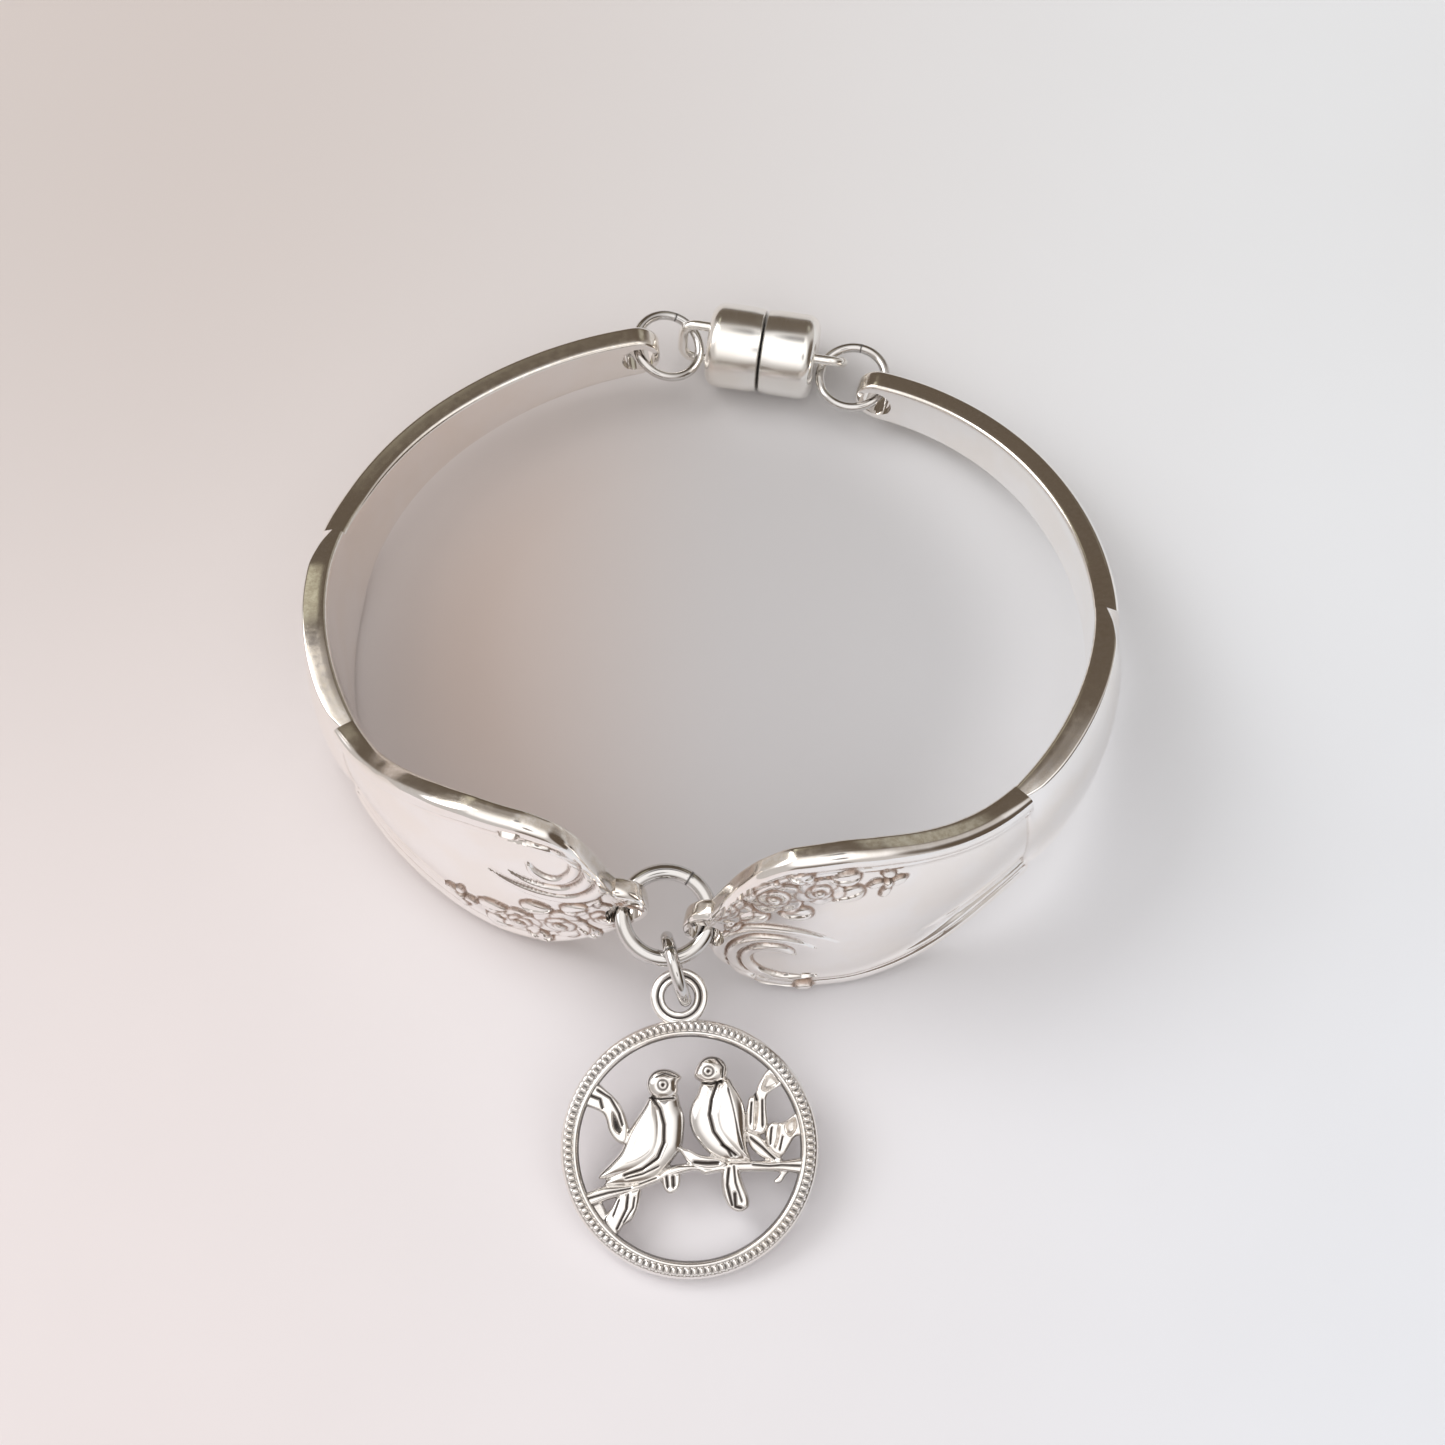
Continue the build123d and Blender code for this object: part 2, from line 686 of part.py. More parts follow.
# Each back ring runs through an end hole and the middle of a clasp loop
right_link = clasp_frame.from_local_coords(Vector(chain_half, 0, 0))
left_link = clasp_frame.from_local_coords(Vector(-chain_half, 0, 0))
back_ring_right = ring(
    tilted_plane((right_link + right_end) / 2, right_end - right_link, right_ring_tilt),
    back_ring_diameter, back_ring_wire,
)
back_ring_left = ring(
    tilted_plane((left_link + left_end) / 2, left_end - left_link, left_ring_tilt),
    back_ring_diameter, back_ring_wire,
)

# The charm ring hangs on the front ring and holds the bail
place = math.radians(charm_ring_place)
to_wire = front_plane.x_dir * math.sin(place) - front_plane.y_dir * math.cos(place)
front_wire = front_plane.origin + to_wire * (front_mean / 2)
charm_room = charm_ring_diameter / 2 - charm_ring_wire
ring_play = charm_ring_hang_share * (charm_room - front_ring_wire / 2)
charm_ring_centre = front_wire + Vector(*charm_ring_hang).normalized() * ring_play
charm_ring = ring(
    Plane(charm_ring_centre, z_dir=Vector(*charm_ring_axis)), charm_ring_diameter, charm_ring_wire
)
bail_mean = (bail_diameter + bail_hole) / 4
bail_top = charm_ring_centre + Vector(*bail_hang).normalized() * (bail_hang_share * charm_room)

# The charm lies with its lower rim on the floor and its bail in the charm ring
bail_reach = bail_rise + bail_mean
rim_reach = charm_diameter / 2
lying = math.asin((bail_top.Z - charm_thickness / 2) / (bail_reach + rim_reach))
spin = math.radians(charm_turn)
charm_up = Vector(-math.sin(spin) * math.cos(lying), math.cos(spin) * math.cos(lying), math.sin(lying))
charm_right = Vector(math.cos(spin), math.sin(spin), 0)
charm_plane = Plane(bail_top - charm_up * bail_reach, x_dir=charm_right, z_dir=charm_right.cross(charm_up))
bird_charm = charm_plane * charm()
bird_charm = Pos(0, 0, on_floor(bird_charm)) * bird_charm

nodes = {
    "left_handle": handles["left_handle"],
    "right_handle": handles["right_handle"],
    "front_ring": front_ring,
    "charm_ring": charm_ring,
    "bird_charm": bird_charm,
    "back_ring_left": back_ring_left,
    "back_ring_right": back_ring_right,
    "clasp_left": clasp_left,
    "clasp_right": clasp_right,
}

# The origin is the middle of the whole bracelet's box, on the floor
boxes = [shape.bounding_box() for shape in nodes.values()]
middle_x = (min(box.min.X for box in boxes) + max(box.max.X for box in boxes)) / 2
middle_y = (min(box.min.Y for box in boxes) + max(box.max.Y for box in boxes)) / 2
for name, shape in nodes.items():
    export_step(Pos(-middle_x, -middle_y, 0) * shape, "parts/" + name + ".step")
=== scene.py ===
import bmesh
import bpy
import math
import numpy as np
from mathutils import Matrix, Vector


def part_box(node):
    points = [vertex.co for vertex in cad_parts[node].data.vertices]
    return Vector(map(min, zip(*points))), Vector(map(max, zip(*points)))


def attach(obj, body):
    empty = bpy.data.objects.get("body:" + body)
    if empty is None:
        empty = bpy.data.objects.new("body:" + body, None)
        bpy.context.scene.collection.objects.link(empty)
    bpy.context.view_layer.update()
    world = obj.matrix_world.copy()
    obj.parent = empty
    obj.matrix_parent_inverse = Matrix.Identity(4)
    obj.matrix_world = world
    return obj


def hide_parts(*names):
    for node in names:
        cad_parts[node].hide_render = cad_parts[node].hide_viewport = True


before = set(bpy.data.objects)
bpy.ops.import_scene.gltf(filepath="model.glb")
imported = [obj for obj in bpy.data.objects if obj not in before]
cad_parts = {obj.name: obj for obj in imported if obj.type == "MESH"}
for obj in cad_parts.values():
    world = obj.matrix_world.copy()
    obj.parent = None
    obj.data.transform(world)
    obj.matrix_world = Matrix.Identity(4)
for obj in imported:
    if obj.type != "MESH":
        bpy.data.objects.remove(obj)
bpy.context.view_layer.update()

# Pieces are made in millimetres and scaled to metres when they are placed
MILLIMETRE = 0.001

# Spoon handles
handle_length = 84.7
broad_length = 28.8
lens_length = 19.8
broad_width = 20.2
lens_width = 12.2
shank_wide = 9.2
shank_end_width = 4.4
thickness = 2.0
edge_round = 0.32
tip_radius = 2.9
tip_hole_diameter = 2.8
end_hole_diameter = 2.8
hole_setback = 1.95
right_tip_drop = 2.1
left_tip_drop = -1.7

# How each handle is bent: share of its length and turn in degrees
RIGHT_BENDS = ((0.10, 13.9), (0.12, 17.3), (0.14, 29.0), (0.20, 36.3), (0.22, 39.2), (0.22, 41.3))
LEFT_BENDS = ((0.10, 19.5), (0.12, 21.9), (0.14, 28.2), (0.20, 35.9), (0.22, 41.1), (0.22, 32.3))
right_heading = -11.3
left_heading = 185.0
right_lean = (-2.1, 8.8)
left_lean = (-5.0, 6.4)
front_slope = -14.0

# Broad end: place as a share of its length, half widths as shares of
# broad_width, edge and crown as shares of thickness, share of the tip's drop
BROAD_SECTIONS = (
    (0.085, 0.155, 0.155, 0.84, 0.02, 1.00),
    (0.120, 0.230, 0.290, 0.85, 0.05, 0.70),
    (0.165, 0.305, 0.425, 0.86, 0.08, 0.35),
    (0.230, 0.385, 0.510, 0.88, 0.12, 0.10),
    (0.320, 0.447, 0.545, 0.92, 0.15, 0.00),
    (0.430, 0.456, 0.548, 0.96, 0.17, 0.00),
    (0.550, 0.424, 0.515, 1.00, 0.18, 0.00),
    (0.670, 0.372, 0.452, 1.00, 0.18, 0.00),
    (0.785, 0.327, 0.372, 1.00, 0.18, 0.00),
    (0.895, 0.296, 0.309, 1.00, 0.18, 0.00),
    (1.000, 0.282, 0.282, 1.00, 0.18, 0.00),
)

# Lens: place as a share of its length, half width, edge and crown
LENS_SECTIONS = (
    (0.00, 0.450, 0.66, 0.44),
    (0.09, 0.465, 0.88, 0.40),
    (0.22, 0.480, 0.97, 0.38),
    (0.50, 0.500, 1.00, 0.38),
    (0.78, 0.475, 0.97, 0.36),
    (0.91, 0.440, 0.80, 0.40),
    (1.00, 0.410, 0.56, 0.46),
)

# Shank: place as a share of its length, spread of its width, crown
SHANK_SECTIONS = (
    (0.00, 1.00, 0.14),
    (0.16, 0.57, 0.12),
    (0.42, 0.27, 0.09),
    (0.70, 0.10, 0.06),
    (1.00, 0.00, 0.03),
)

# Border of the broad end: depth at each inset from the edge
BORDER = (
    (0.0, 0.0), (0.9, 0.03), (1.15, -0.03), (1.4, -0.2), (1.55, -0.26),
    (1.75, -0.14), (1.95, -0.12), (2.2, -0.22), (2.6, -0.25), (4.0, -0.25),
)

# Rounding of the wall's outer corners: place along the handle and radius
FACE_ROUNDING = (
    (0.0, 0.60), (4.0, 0.85), (26.0, 0.80), (28.8, 0.55), (28.81, 0.22), (48.6, 0.22), (48.61, 0.45),
)
volute_hollow = 0.35
rose_height = 0.62
leaf_height = 0.42
petal_crease = 0.11
outline_width = 0.13

# Jump rings: outer diameter and wire
front_ring_size = (8.0, 1.27)
back_ring_size = (6.4, 0.8)
charm_ring_size = (6.0, 1.0)
front_ring_tilt = 9.0
left_ring_tilt = 12.0
right_ring_tilt = 6.0
ring_slack = 0.12
charm_ring_axis = (0.961, 0.265, 0.091)
bail_hang = (0.18, -0.34, -0.92)
bail_hang_share = 0.36

# Magnetic clasp
clasp_diameter = 7.2
clasp_body_length = 9.2
clasp_seam = 0.14
collar_length = 1.1
collar_diameter = 6.9
shoulder_round = 1.1
loop_wire = 0.85
loop_reach = 2.7
loop_width = 4.4
loop_corner = 1.15
left_loop_lean = 20.0
right_loop_lean = 30.0
clasp_bow = 2.6

# Bird charm
charm_diameter = 19.6
charm_rim_width = 1.35
charm_thickness = 1.8
reed_count = 110
bail_diameter = 4.45
bail_hole = 2.3
bail_thickness = 1.3
bail_rise = 11.5
charm_turn = 4.2
art_turn = -4.8


# Shader maths


class Value:
    """A socket's output that takes part in sums and products."""

    def __init__(self, nodes, socket):
        self.nodes = nodes
        self.socket = socket

    def maths(self, operation, other, swapped=False):
        first, second = (other, self) if swapped else (self, other)
        return self.nodes.node("ShaderNodeMath", {"operation": operation}, {0: first, 1: second})

    def __add__(self, other):
        return self.maths("ADD", other)

    __radd__ = __add__

    def __mul__(self, other):
        return self.maths("MULTIPLY", other)

    __rmul__ = __mul__

    def __sub__(self, other):
        return self.maths("SUBTRACT", other)

    def __rsub__(self, other):
        return self.maths("SUBTRACT", other, swapped=True)


class Nodes:
    """A node tree that is written as sums, products and blends of its sockets."""

    def __init__(self, tree):
        self.tree = tree

    def node(self, kind, settings=None, inputs=None, output=0):
        made = self.tree.nodes.new(kind)
        for name, value in (settings or {}).items():
            setattr(made, name, value)
        for socket, value in (inputs or {}).items():
            self.join(value, made.inputs[socket])
        return Value(self, made.outputs[output])

    def join(self, value, socket):
        if isinstance(value, Value):
            self.tree.links.new(value.socket, socket)
        else:
            socket.default_value = value

    def blend(self, share, first, second):
        inputs = {"Factor": share, "A": first, "B": second}
        return self.node("ShaderNodeMix", {"data_type": "RGBA"}, inputs, 2)

    def between(self, value, low, high, to_low=0.0, to_high=1.0):
        settings = {"interpolation_type": "SMOOTHSTEP"}
        return self.node("ShaderNodeMapRange", settings, {0: value, 1: low, 2: high, 3: to_low, 4: to_high})


class Finish(Nodes):
    """A material whose look comes from nodes."""

    def __init__(self, name):
        self.material = bpy.data.materials.new(name)
        self.material.use_nodes = True
        super().__init__(self.material.node_tree)
        self.shader = self.tree.nodes["Principled BSDF"]
        self.place = self.node("ShaderNodeTexCoord", output="Object")

    def noise(self, scale, detail=4.0, roughness=0.55, place=None):
        inputs = {"Vector": place or self.place, "Scale": scale, "Detail": detail, "Roughness": roughness}
        return self.node("ShaderNodeTexNoise", None, inputs, "Fac")

    def plan_places(self):
        """Object coordinates along +X and along +Y."""
        split = self.node("ShaderNodeSeparateXYZ", None, {0: self.place}).socket.node
        return Value(self, split.outputs["X"]), Value(self, split.outputs["Y"])

    def set(self, **sockets):
        for name, value in sockets.items():
            self.join(value, self.shader.inputs[name.replace("_", " ")])
        return self.material


# The plate has worn to a duller, yellower metal on the handles' flanks
FLANK_TINT = (0.72, 0.64, 0.53, 1)

# Silver with a little warmth, in drifts over the bright metal
WARM_TONE = (0.985, 0.965, 0.94, 1)

# Scales of the noises that mark the silver, and the depth of its waviness in metres
CLOUD_SCALE = 180
SWELL_SCALE = 260
SCRATCH_SCALE = 900
WEAR_SCALE = 1400
SPECK_SCALE = 2600
WAVE_DEPTH = 0.0000025


def silver(name, bright, dark, rough, ageing_and_shade, waves):
    """Silver, polished where it is proud and darkened in its recesses by patina and, on some pieces, by
    painted shade.
    """
    finish = Finish(name)
    clouds = finish.noise(CLOUD_SCALE, 3)
    swell = finish.noise(SWELL_SCALE, 1)
    specks = finish.noise(SPECK_SCALE, 5, 0.7)
    drawn = finish.node("ShaderNodeMapping", None, {"Vector": finish.place, "Scale": (1.0, 0.25, 9.0)})
    scratches = finish.noise(SCRATCH_SCALE, 6, 0.65, drawn)
    patina_and_shade = finish.node("ShaderNodeAttribute", {"attribute_name": "patina_and_shade"}, None, "Fac")
    outline = finish.node("ShaderNodeAttribute", {"attribute_name": "outline"}, None, "Fac")
    age_and_shade = finish.between(patina_and_shade * 1.2 + outline * 0.75 + specks * 0.3 - 0.15, 0.0, 1.0) * ageing_and_shade
    warm = [share * tone for share, tone in zip(bright, WARM_TONE)]
    flank = finish.node("ShaderNodeAttribute", {"attribute_name": "flank"}, None, "Fac")
    worn = finish.between(specks + finish.noise(WEAR_SCALE, 3) - 0.5, 0.2, 0.8, 0.25, 0.75) * flank
    metal = finish.blend(worn, finish.blend(finish.between(clouds, 0.35, 0.65), bright, warm), FLANK_TINT)
    colour = finish.blend(age_and_shade, metal, dark)
    height = swell * waves + scratches * 0.5 + specks * 0.12
    bump = finish.node("ShaderNodeBump", None, {"Height": height, "Strength": 1.0, "Distance": WAVE_DEPTH})
    return finish.set(
        Base_Color=colour,
        Metallic=1.0 - age_and_shade * 0.4,
        Roughness=finish.between(clouds, 0.3, 0.7, rough * 0.8, rough * 1.3) + age_and_shade * 0.3 + worn * 0.22,
        Normal=bump,
    )


polished_silver = silver("polished_silver", (0.985, 0.97, 0.955, 1), (0.29, 0.165, 0.10, 1), 0.05, 0.85, 4.0)
antique_silver = silver("antique_silver", (0.90, 0.88, 0.86, 1), (0.045, 0.034, 0.029, 1), 0.13, 1.0, 1.5)
ring_silver = silver("ring_silver", (0.68, 0.67, 0.66, 1), (0.05, 0.045, 0.04, 1), 0.09, 0.9, 1.0)
clasp_silver = silver("clasp_silver", (0.95, 0.94, 0.91, 1), (0.06, 0.05, 0.04, 1), 0.19, 0.9, 2.0)


# Making pieces


def new_piece(name, shape, material, node=None, sharp=40.0):
    """An object of the bracelet from a mesh in millimetres."""
    mesh = bpy.data.meshes.new(name)
    shape.to_mesh(mesh)
    shape.free()
    return finish_piece(name, mesh, material, node, sharp)


def finish_piece(name, mesh, material, node=None, sharp=40.0):
    mesh.transform(Matrix.Scale(MILLIMETRE, 4))
    mesh.shade_smooth()
    mesh.set_sharp_from_angle(angle=math.radians(sharp))
    mesh.materials.clear()
    mesh.materials.append(material)
    piece = bpy.data.objects.new(name, mesh)
    bpy.context.scene.collection.objects.link(piece)
    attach(piece, "root")
    if node:
        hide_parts(node)
    return piece


def with_modifiers(shape, modifiers):
    """Mesh that a shape becomes once modifiers, given as (type, settings), are applied."""
    mesh = bpy.data.meshes.new("work")
    shape.to_mesh(mesh)
    shape.free()
    work = bpy.data.objects.new("work", mesh)
    bpy.context.scene.collection.objects.link(work)
    for kind, settings in modifiers:
        modifier = work.modifiers.new(kind.lower(), kind)
        for setting, value in settings.items():
            setattr(modifier, setting, value)
    graph = bpy.context.evaluated_depsgraph_get()
    done = work.evaluated_get(graph)
    result = bpy.data.meshes.new_from_object(done, preserve_all_data_layers=True, depsgraph=graph)
    bpy.data.objects.remove(work)
    return result


def darken_hollows(mesh, start, full, extra=None):
    """Darkness where the surface is hollow, by its curvature in 1/mm, kept as an attribute."""
    count = len(mesh.vertices)
    places = np.zeros(count * 3)
    mesh.vertices.foreach_get("co", places)
    places = places.reshape(-1, 3)
    normals = np.zeros(count * 3)
    mesh.vertices.foreach_get("normal", normals)
    normals = normals.reshape(-1, 3)
    ends = np.zeros(len(mesh.edges) * 2, dtype=np.int32)
    mesh.edges.foreach_get("vertices", ends)
    a, b = ends.reshape(-1, 2).T
    run = places[b] - places[a]
    squared = np.maximum((run ** 2).sum(1), 1e-6)
    bend = np.bincount(a, (run * normals[a]).sum(1) / squared, count)
    bend += np.bincount(b, -(run * normals[b]).sum(1) / squared, count)
    joined = np.maximum(np.bincount(a, minlength=count) + np.bincount(b, minlength=count), 1)
    bend = np.clip(2 * bend / joined, -20, 20)
    for _ in range(3):
        around = np.bincount(a, bend[b], count) + np.bincount(b, bend[a], count)
        bend = (bend + around / joined) / 2
    dark = np.clip((bend - start) / (full - start), 0, 1)
    if extra is not None:
        dark = np.maximum(dark, extra)
    mesh.attributes.new("patina_and_shade", "FLOAT", "POINT").data.foreach_set("value", dark)


def as_object(shape, name):
    mesh = bpy.data.meshes.new(name)
    shape.to_mesh(mesh)
    shape.free()
    made = bpy.data.objects.new(name, mesh)
    bpy.context.scene.collection.objects.link(made)
    return made


def vector(point):
    return Vector([float(c) for c in point])


def frame_matrix(origin, x_axis, z_axis):
    """Placing matrix with given x and z axes."""
    z = vector(z_axis).normalized()
    x = vector(x_axis)
    x = (x - z * x.dot(z)).normalized()
    y = z.cross(x)
    matrix = Matrix((x, y, z)).transposed().to_4x4()
    matrix.translation = vector(origin)
    return matrix


def spun(profile, steps, matrix, closed=True):
    """Solid of revolution about z of an (r, z) profile."""
    shape = bmesh.new()
    corners = [shape.verts.new((r, 0, z)) for r, z in profile]
    edges = [shape.edges.new(pair) for pair in zip(corners, corners[1:])]
    if closed:
        edges.append(shape.edges.new((corners[-1], corners[0])))
    bmesh.ops.spin(
        shape, geom=corners + edges, cent=(0, 0, 0), axis=(0, 0, 1), angle=2 * math.pi,
        steps=steps, use_merge=True, use_duplicate=False,
    )
    bmesh.ops.remove_doubles(shape, verts=shape.verts, dist=1e-5)
    bmesh.ops.recalc_face_normals(shape, faces=shape.faces)
    bmesh.ops.transform(shape, matrix=matrix, verts=shape.verts)
    return shape


# The handles' shape


def through(rows, column, at):
    """Smooth curve through one column of a table, without overshoot."""
    x = np.array([row[0] for row in rows])
    y = np.array([row[column] for row in rows])
    step = np.diff(x)
    slope = np.diff(y) / step
    before, after = slope[:-1], slope[1:]
    inner = np.where(before * after > 0, 2 * before * after / (before + after + 1e-12), 0.0)
    tangent = np.concatenate(([slope[0]], inner, [slope[-1]]))
    at = np.clip(at, x[0], x[-1])
    k = np.clip(np.searchsorted(x, at, side="right") - 1, 0, len(x) - 2)
    t = (at - x[k]) / step[k]
    return (
        y[k] * (1 + 2 * t) * (1 - t) ** 2 + tangent[k] * step[k] * t * (1 - t) ** 2
        + y[k + 1] * t ** 2 * (3 - 2 * t) + tangent[k + 1] * step[k] * t ** 2 * (t - 1)
    )


def wall_shape(along, tip_drop):
    """Rose side, scroll side, edge height and crown of the wall, in millimetres."""
    end_radius = shank_end_width / 2
    lens_start = broad_length
    shank_start = broad_length + lens_length
    shank_length = handle_length - end_radius - shank_start
    share = along / broad_length
    drop = through(BROAD_SECTIONS, 5, share) * tip_drop
    rose = through(BROAD_SECTIONS, 1, share) * broad_width
    scroll = through(BROAD_SECTIONS, 2, share) * broad_width
    chord = np.sqrt(np.clip(tip_radius ** 2 - (tip_radius - along) ** 2, 0, None))
    in_tip = along < BROAD_SECTIONS[0][0] * broad_length
    rose = np.where(in_tip, chord, rose) - drop
    scroll = np.where(in_tip, chord, scroll) + drop
    edge = through(BROAD_SECTIONS, 3, share)
    crown = through(BROAD_SECTIONS, 4, share)
    share = (along - lens_start) / lens_length
    lens = (along > lens_start) & (along <= shank_start)
    half = through(LENS_SECTIONS, 1, share) * lens_width
    rose = np.where(lens, half, rose)
    scroll = np.where(lens, half, scroll)
    edge = np.where(lens, through(LENS_SECTIONS, 2, share), edge)
    crown = np.where(lens, through(LENS_SECTIONS, 3, share), crown)
    share = (along - shank_start) / shank_length
    shank = along > shank_start
    spread = (shank_wide - shank_end_width) / 2
    half = end_radius + through(SHANK_SECTIONS, 1, share) * spread
    past = np.clip(along - shank_start - shank_length, 0, end_radius)
    half = np.where(past > 0, np.sqrt(np.clip(end_radius ** 2 - past ** 2, 0, None)), half)
    rose = np.where(shank, half, rose)
    scroll = np.where(shank, half, scroll)
    edge = np.where(shank, 1.0, edge)
    crown = np.where(shank, through(SHANK_SECTIONS, 2, share), crown)
    return rose, scroll, (edge - 1) * thickness, crown * thickness


def eased(value, low, high):
    """Share from 0 at low to 1 at high, with soft ends."""
    share = np.clip((value - low) / (high - low), 0, 1)
    return share * share * (3 - 2 * share)


class Relief:
    """Ornament over a grid of (along, scroll side): a ground and what stands proud of it."""

    def __init__(self, along, side):
        self.along = along
        self.side = side
        self.ground = np.zeros_like(along)
        self.proud = np.zeros_like(along)
        self.outline = np.zeros_like(along)

    def add(self, rise):
        self.proud = np.maximum(self.proud, rise)

    def roll(self, path, half_width, rise):
        """Rounded roll along a smooth path of (along, side, share of its size)."""
        points = smooth_path(path)
        best = np.full_like(self.along, 9.0)
        share = np.ones_like(self.along)
        for a, b in zip(points, points[1:]):
            run = b[:2] - a[:2]
            t = ((self.along - a[0]) * run[0] + (self.side - a[1]) * run[1]) / (run @ run)
            t = np.clip(t, 0, 1)
            width = a[2] + (b[2] - a[2]) * t
            away = np.hypot(self.along - a[0] - t * run[0], self.side - a[1] - t * run[1])
            reach = away / (half_width * np.maximum(width, 0.05))
            closer = reach < best
            best = np.where(closer, reach, best)
            share = np.where(closer, width, share)
        self.add(rise * np.sqrt(np.clip(1 - best ** 2, 0, None)) * np.sqrt(share))
        line = np.exp(-((best - 1.0) * half_width / outline_width) ** 2) * share
        self.outline = np.maximum(self.outline * eased(best, 0.5, 1.0), 0.6 * line)

    def petal(self, along, side, length, width, angle, rise, cup=0.0, rib=0.0):
        """Oval petal, hollowed in its middle by cup or creased along its length by rib."""
        turn = math.radians(angle)
        u = (self.along - along) * math.cos(turn) + (self.side - side) * math.sin(turn)
        v = (self.side - side) * math.cos(turn) - (self.along - along) * math.sin(turn)
        taper = 1 - 0.4 * np.clip(u / length, -1, 1) if rib else 1.0
        reach = np.hypot(u / length, v / (width * taper))
        body = np.sqrt(np.clip(1 - reach ** 3, 0, None))
        hollow = cup * np.clip(1 - reach ** 2, 0, None)
        crease = rib * np.exp(-(v / petal_crease) ** 2) * (reach < 0.9)
        self.add(rise * body * (1 - hollow) - crease * (body > 0))
        line = np.exp(-((reach - 1.0) * min(length, width) / outline_width) ** 2)
        self.outline = np.maximum(self.outline * eased(reach, 0.6, 1.0), line)

    def rose(self, along, side, radius, turn):
        """Open rose: five outer petals, three wrapped ones and a bud."""
        for petal in range(5):
            angle = turn + petal * 72
            a = math.radians(angle)
            self.petal(
                along + radius * 0.58 * math.cos(a), side + radius * 0.58 * math.sin(a),
                radius * 0.46, radius * 0.50, angle, rose_height * 0.62, cup=0.55,
            )
        for petal in range(3):
            angle = turn + 36 + petal * 120
            a = math.radians(angle)
            self.petal(
                along + radius * 0.22 * math.cos(a), side + radius * 0.22 * math.sin(a),
                radius * 0.33, radius * 0.42, angle, rose_height * 0.85, cup=0.4,
            )
        self.petal(along, side, radius * 0.26, radius * 0.2, turn, rose_height)

    def leaf(self, along, side, length, angle, width=0.36):
        self.petal(along, side, length / 2, length * width, angle, leaf_height, rib=0.26)


def smooth_path(path):
    """Points of a smooth curve through the given ones."""
    given = np.array(path, float)
    before = np.vstack([2 * given[0] - given[1], given[:-1]])
    after = np.vstack([given[1:], 2 * given[-1] - given[-2]])
    tangent = (after - before) / 2
    points = []
    for k in range(len(given) - 1):
        for t in np.linspace(0, 1, 6)[:-1]:
            points.append(
                given[k] * (1 + 2 * t) * (1 - t) ** 2 + tangent[k] * t * (1 - t) ** 2
                + given[k + 1] * t ** 2 * (3 - 2 * t) + tangent[k + 1] * t ** 2 * (t - 1)
            )
    points.append(given[-1])
    return points


# The volute: three rolls side by side, (along, side, share of their size)
VOLUTE_PATHS = (
    ((12.2, 3.4, 0.1), (10.6, 2.0, 0.5), (8.6, 0.9, 0.9), (6.3, 0.45, 1.0),
     (4.7, 0.9, 1.0), (3.4, 2.2, 1.0), (2.8, 4.0, 1.0), (2.85, 6.0, 1.0),
     (3.5, 7.9, 1.0), (4.9, 9.3, 0.9), (7.0, 10.1, 0.6), (9.6, 10.3, 0.2)),
    ((10.4, 3.9, 0.1), (9.0, 2.7, 0.5), (7.4, 2.05, 0.9), (5.9, 2.0, 1.0),
     (4.7, 2.8, 1.0), (3.95, 4.2, 0.9), (3.85, 5.9, 0.8), (4.3, 7.4, 0.7), (5.4, 8.6, 0.5)),
    ((8.6, 5.2, 0.3), (8.2, 4.2, 0.8), (7.3, 3.5, 0.9), (6.2, 3.5, 0.9),
     (5.3, 4.3, 0.9), (4.9, 5.5, 0.9), (5.1, 6.9, 0.9), (6.0, 8.0, 0.8), (7.8, 8.75, 0.5),
     (10.5, 8.9, 0.15)),
)

# Half width and rise of each roll
VOLUTE_ROLLS = ((0.58, 0.36), (0.52, 0.40), (0.50, 0.40))

# Hollow in the volute's middle: place and reach, both (along, side)
VOLUTE_MIDDLE = (7.4, 6.2)
VOLUTE_REACH = (2.6, 1.9)

# Small boss where the volute meets the border: (along, side, half length, half width)
BORDER_BOSS = (9.3, 10.0, 0.75, 0.38)

# Roses of the spray: (along, side, radius, turn)
ROSES = ((1.35, -0.9, 1.1, 20), (3.45, -2.3, 2.2, 8), (7.3, -4.4, 2.3, 40), (10.7, -5.2, 1.85, 12))

# Leaves of the rose spray: (along, side, length, angle)
SPRAY_LEAVES = (
    (5.0, -5.2, 2.5, 215), (5.6, -1.4, 2.6, 160), (8.9, -2.0, 2.6, 178), (9.3, -7.2, 2.2, 205),
    (12.6, -6.5, 2.6, 190), (12.7, -4.2, 2.9, 170), (4.0, 0.2, 1.7, 120),
)

# Petals of the small flower at the spray's end: (along, side, length, angle)
END_FLOWER = (
    (16.0, -5.9, 1.5, 235), (16.7, -4.5, 1.6, 175), (15.0, -4.9, 1.4, 0), (15.7, -3.6, 1.4, 110),
)

# Bud in that flower: (along, side) and its radius
BUD_PLACE = (15.9, -4.7)
bud_radius = 0.40


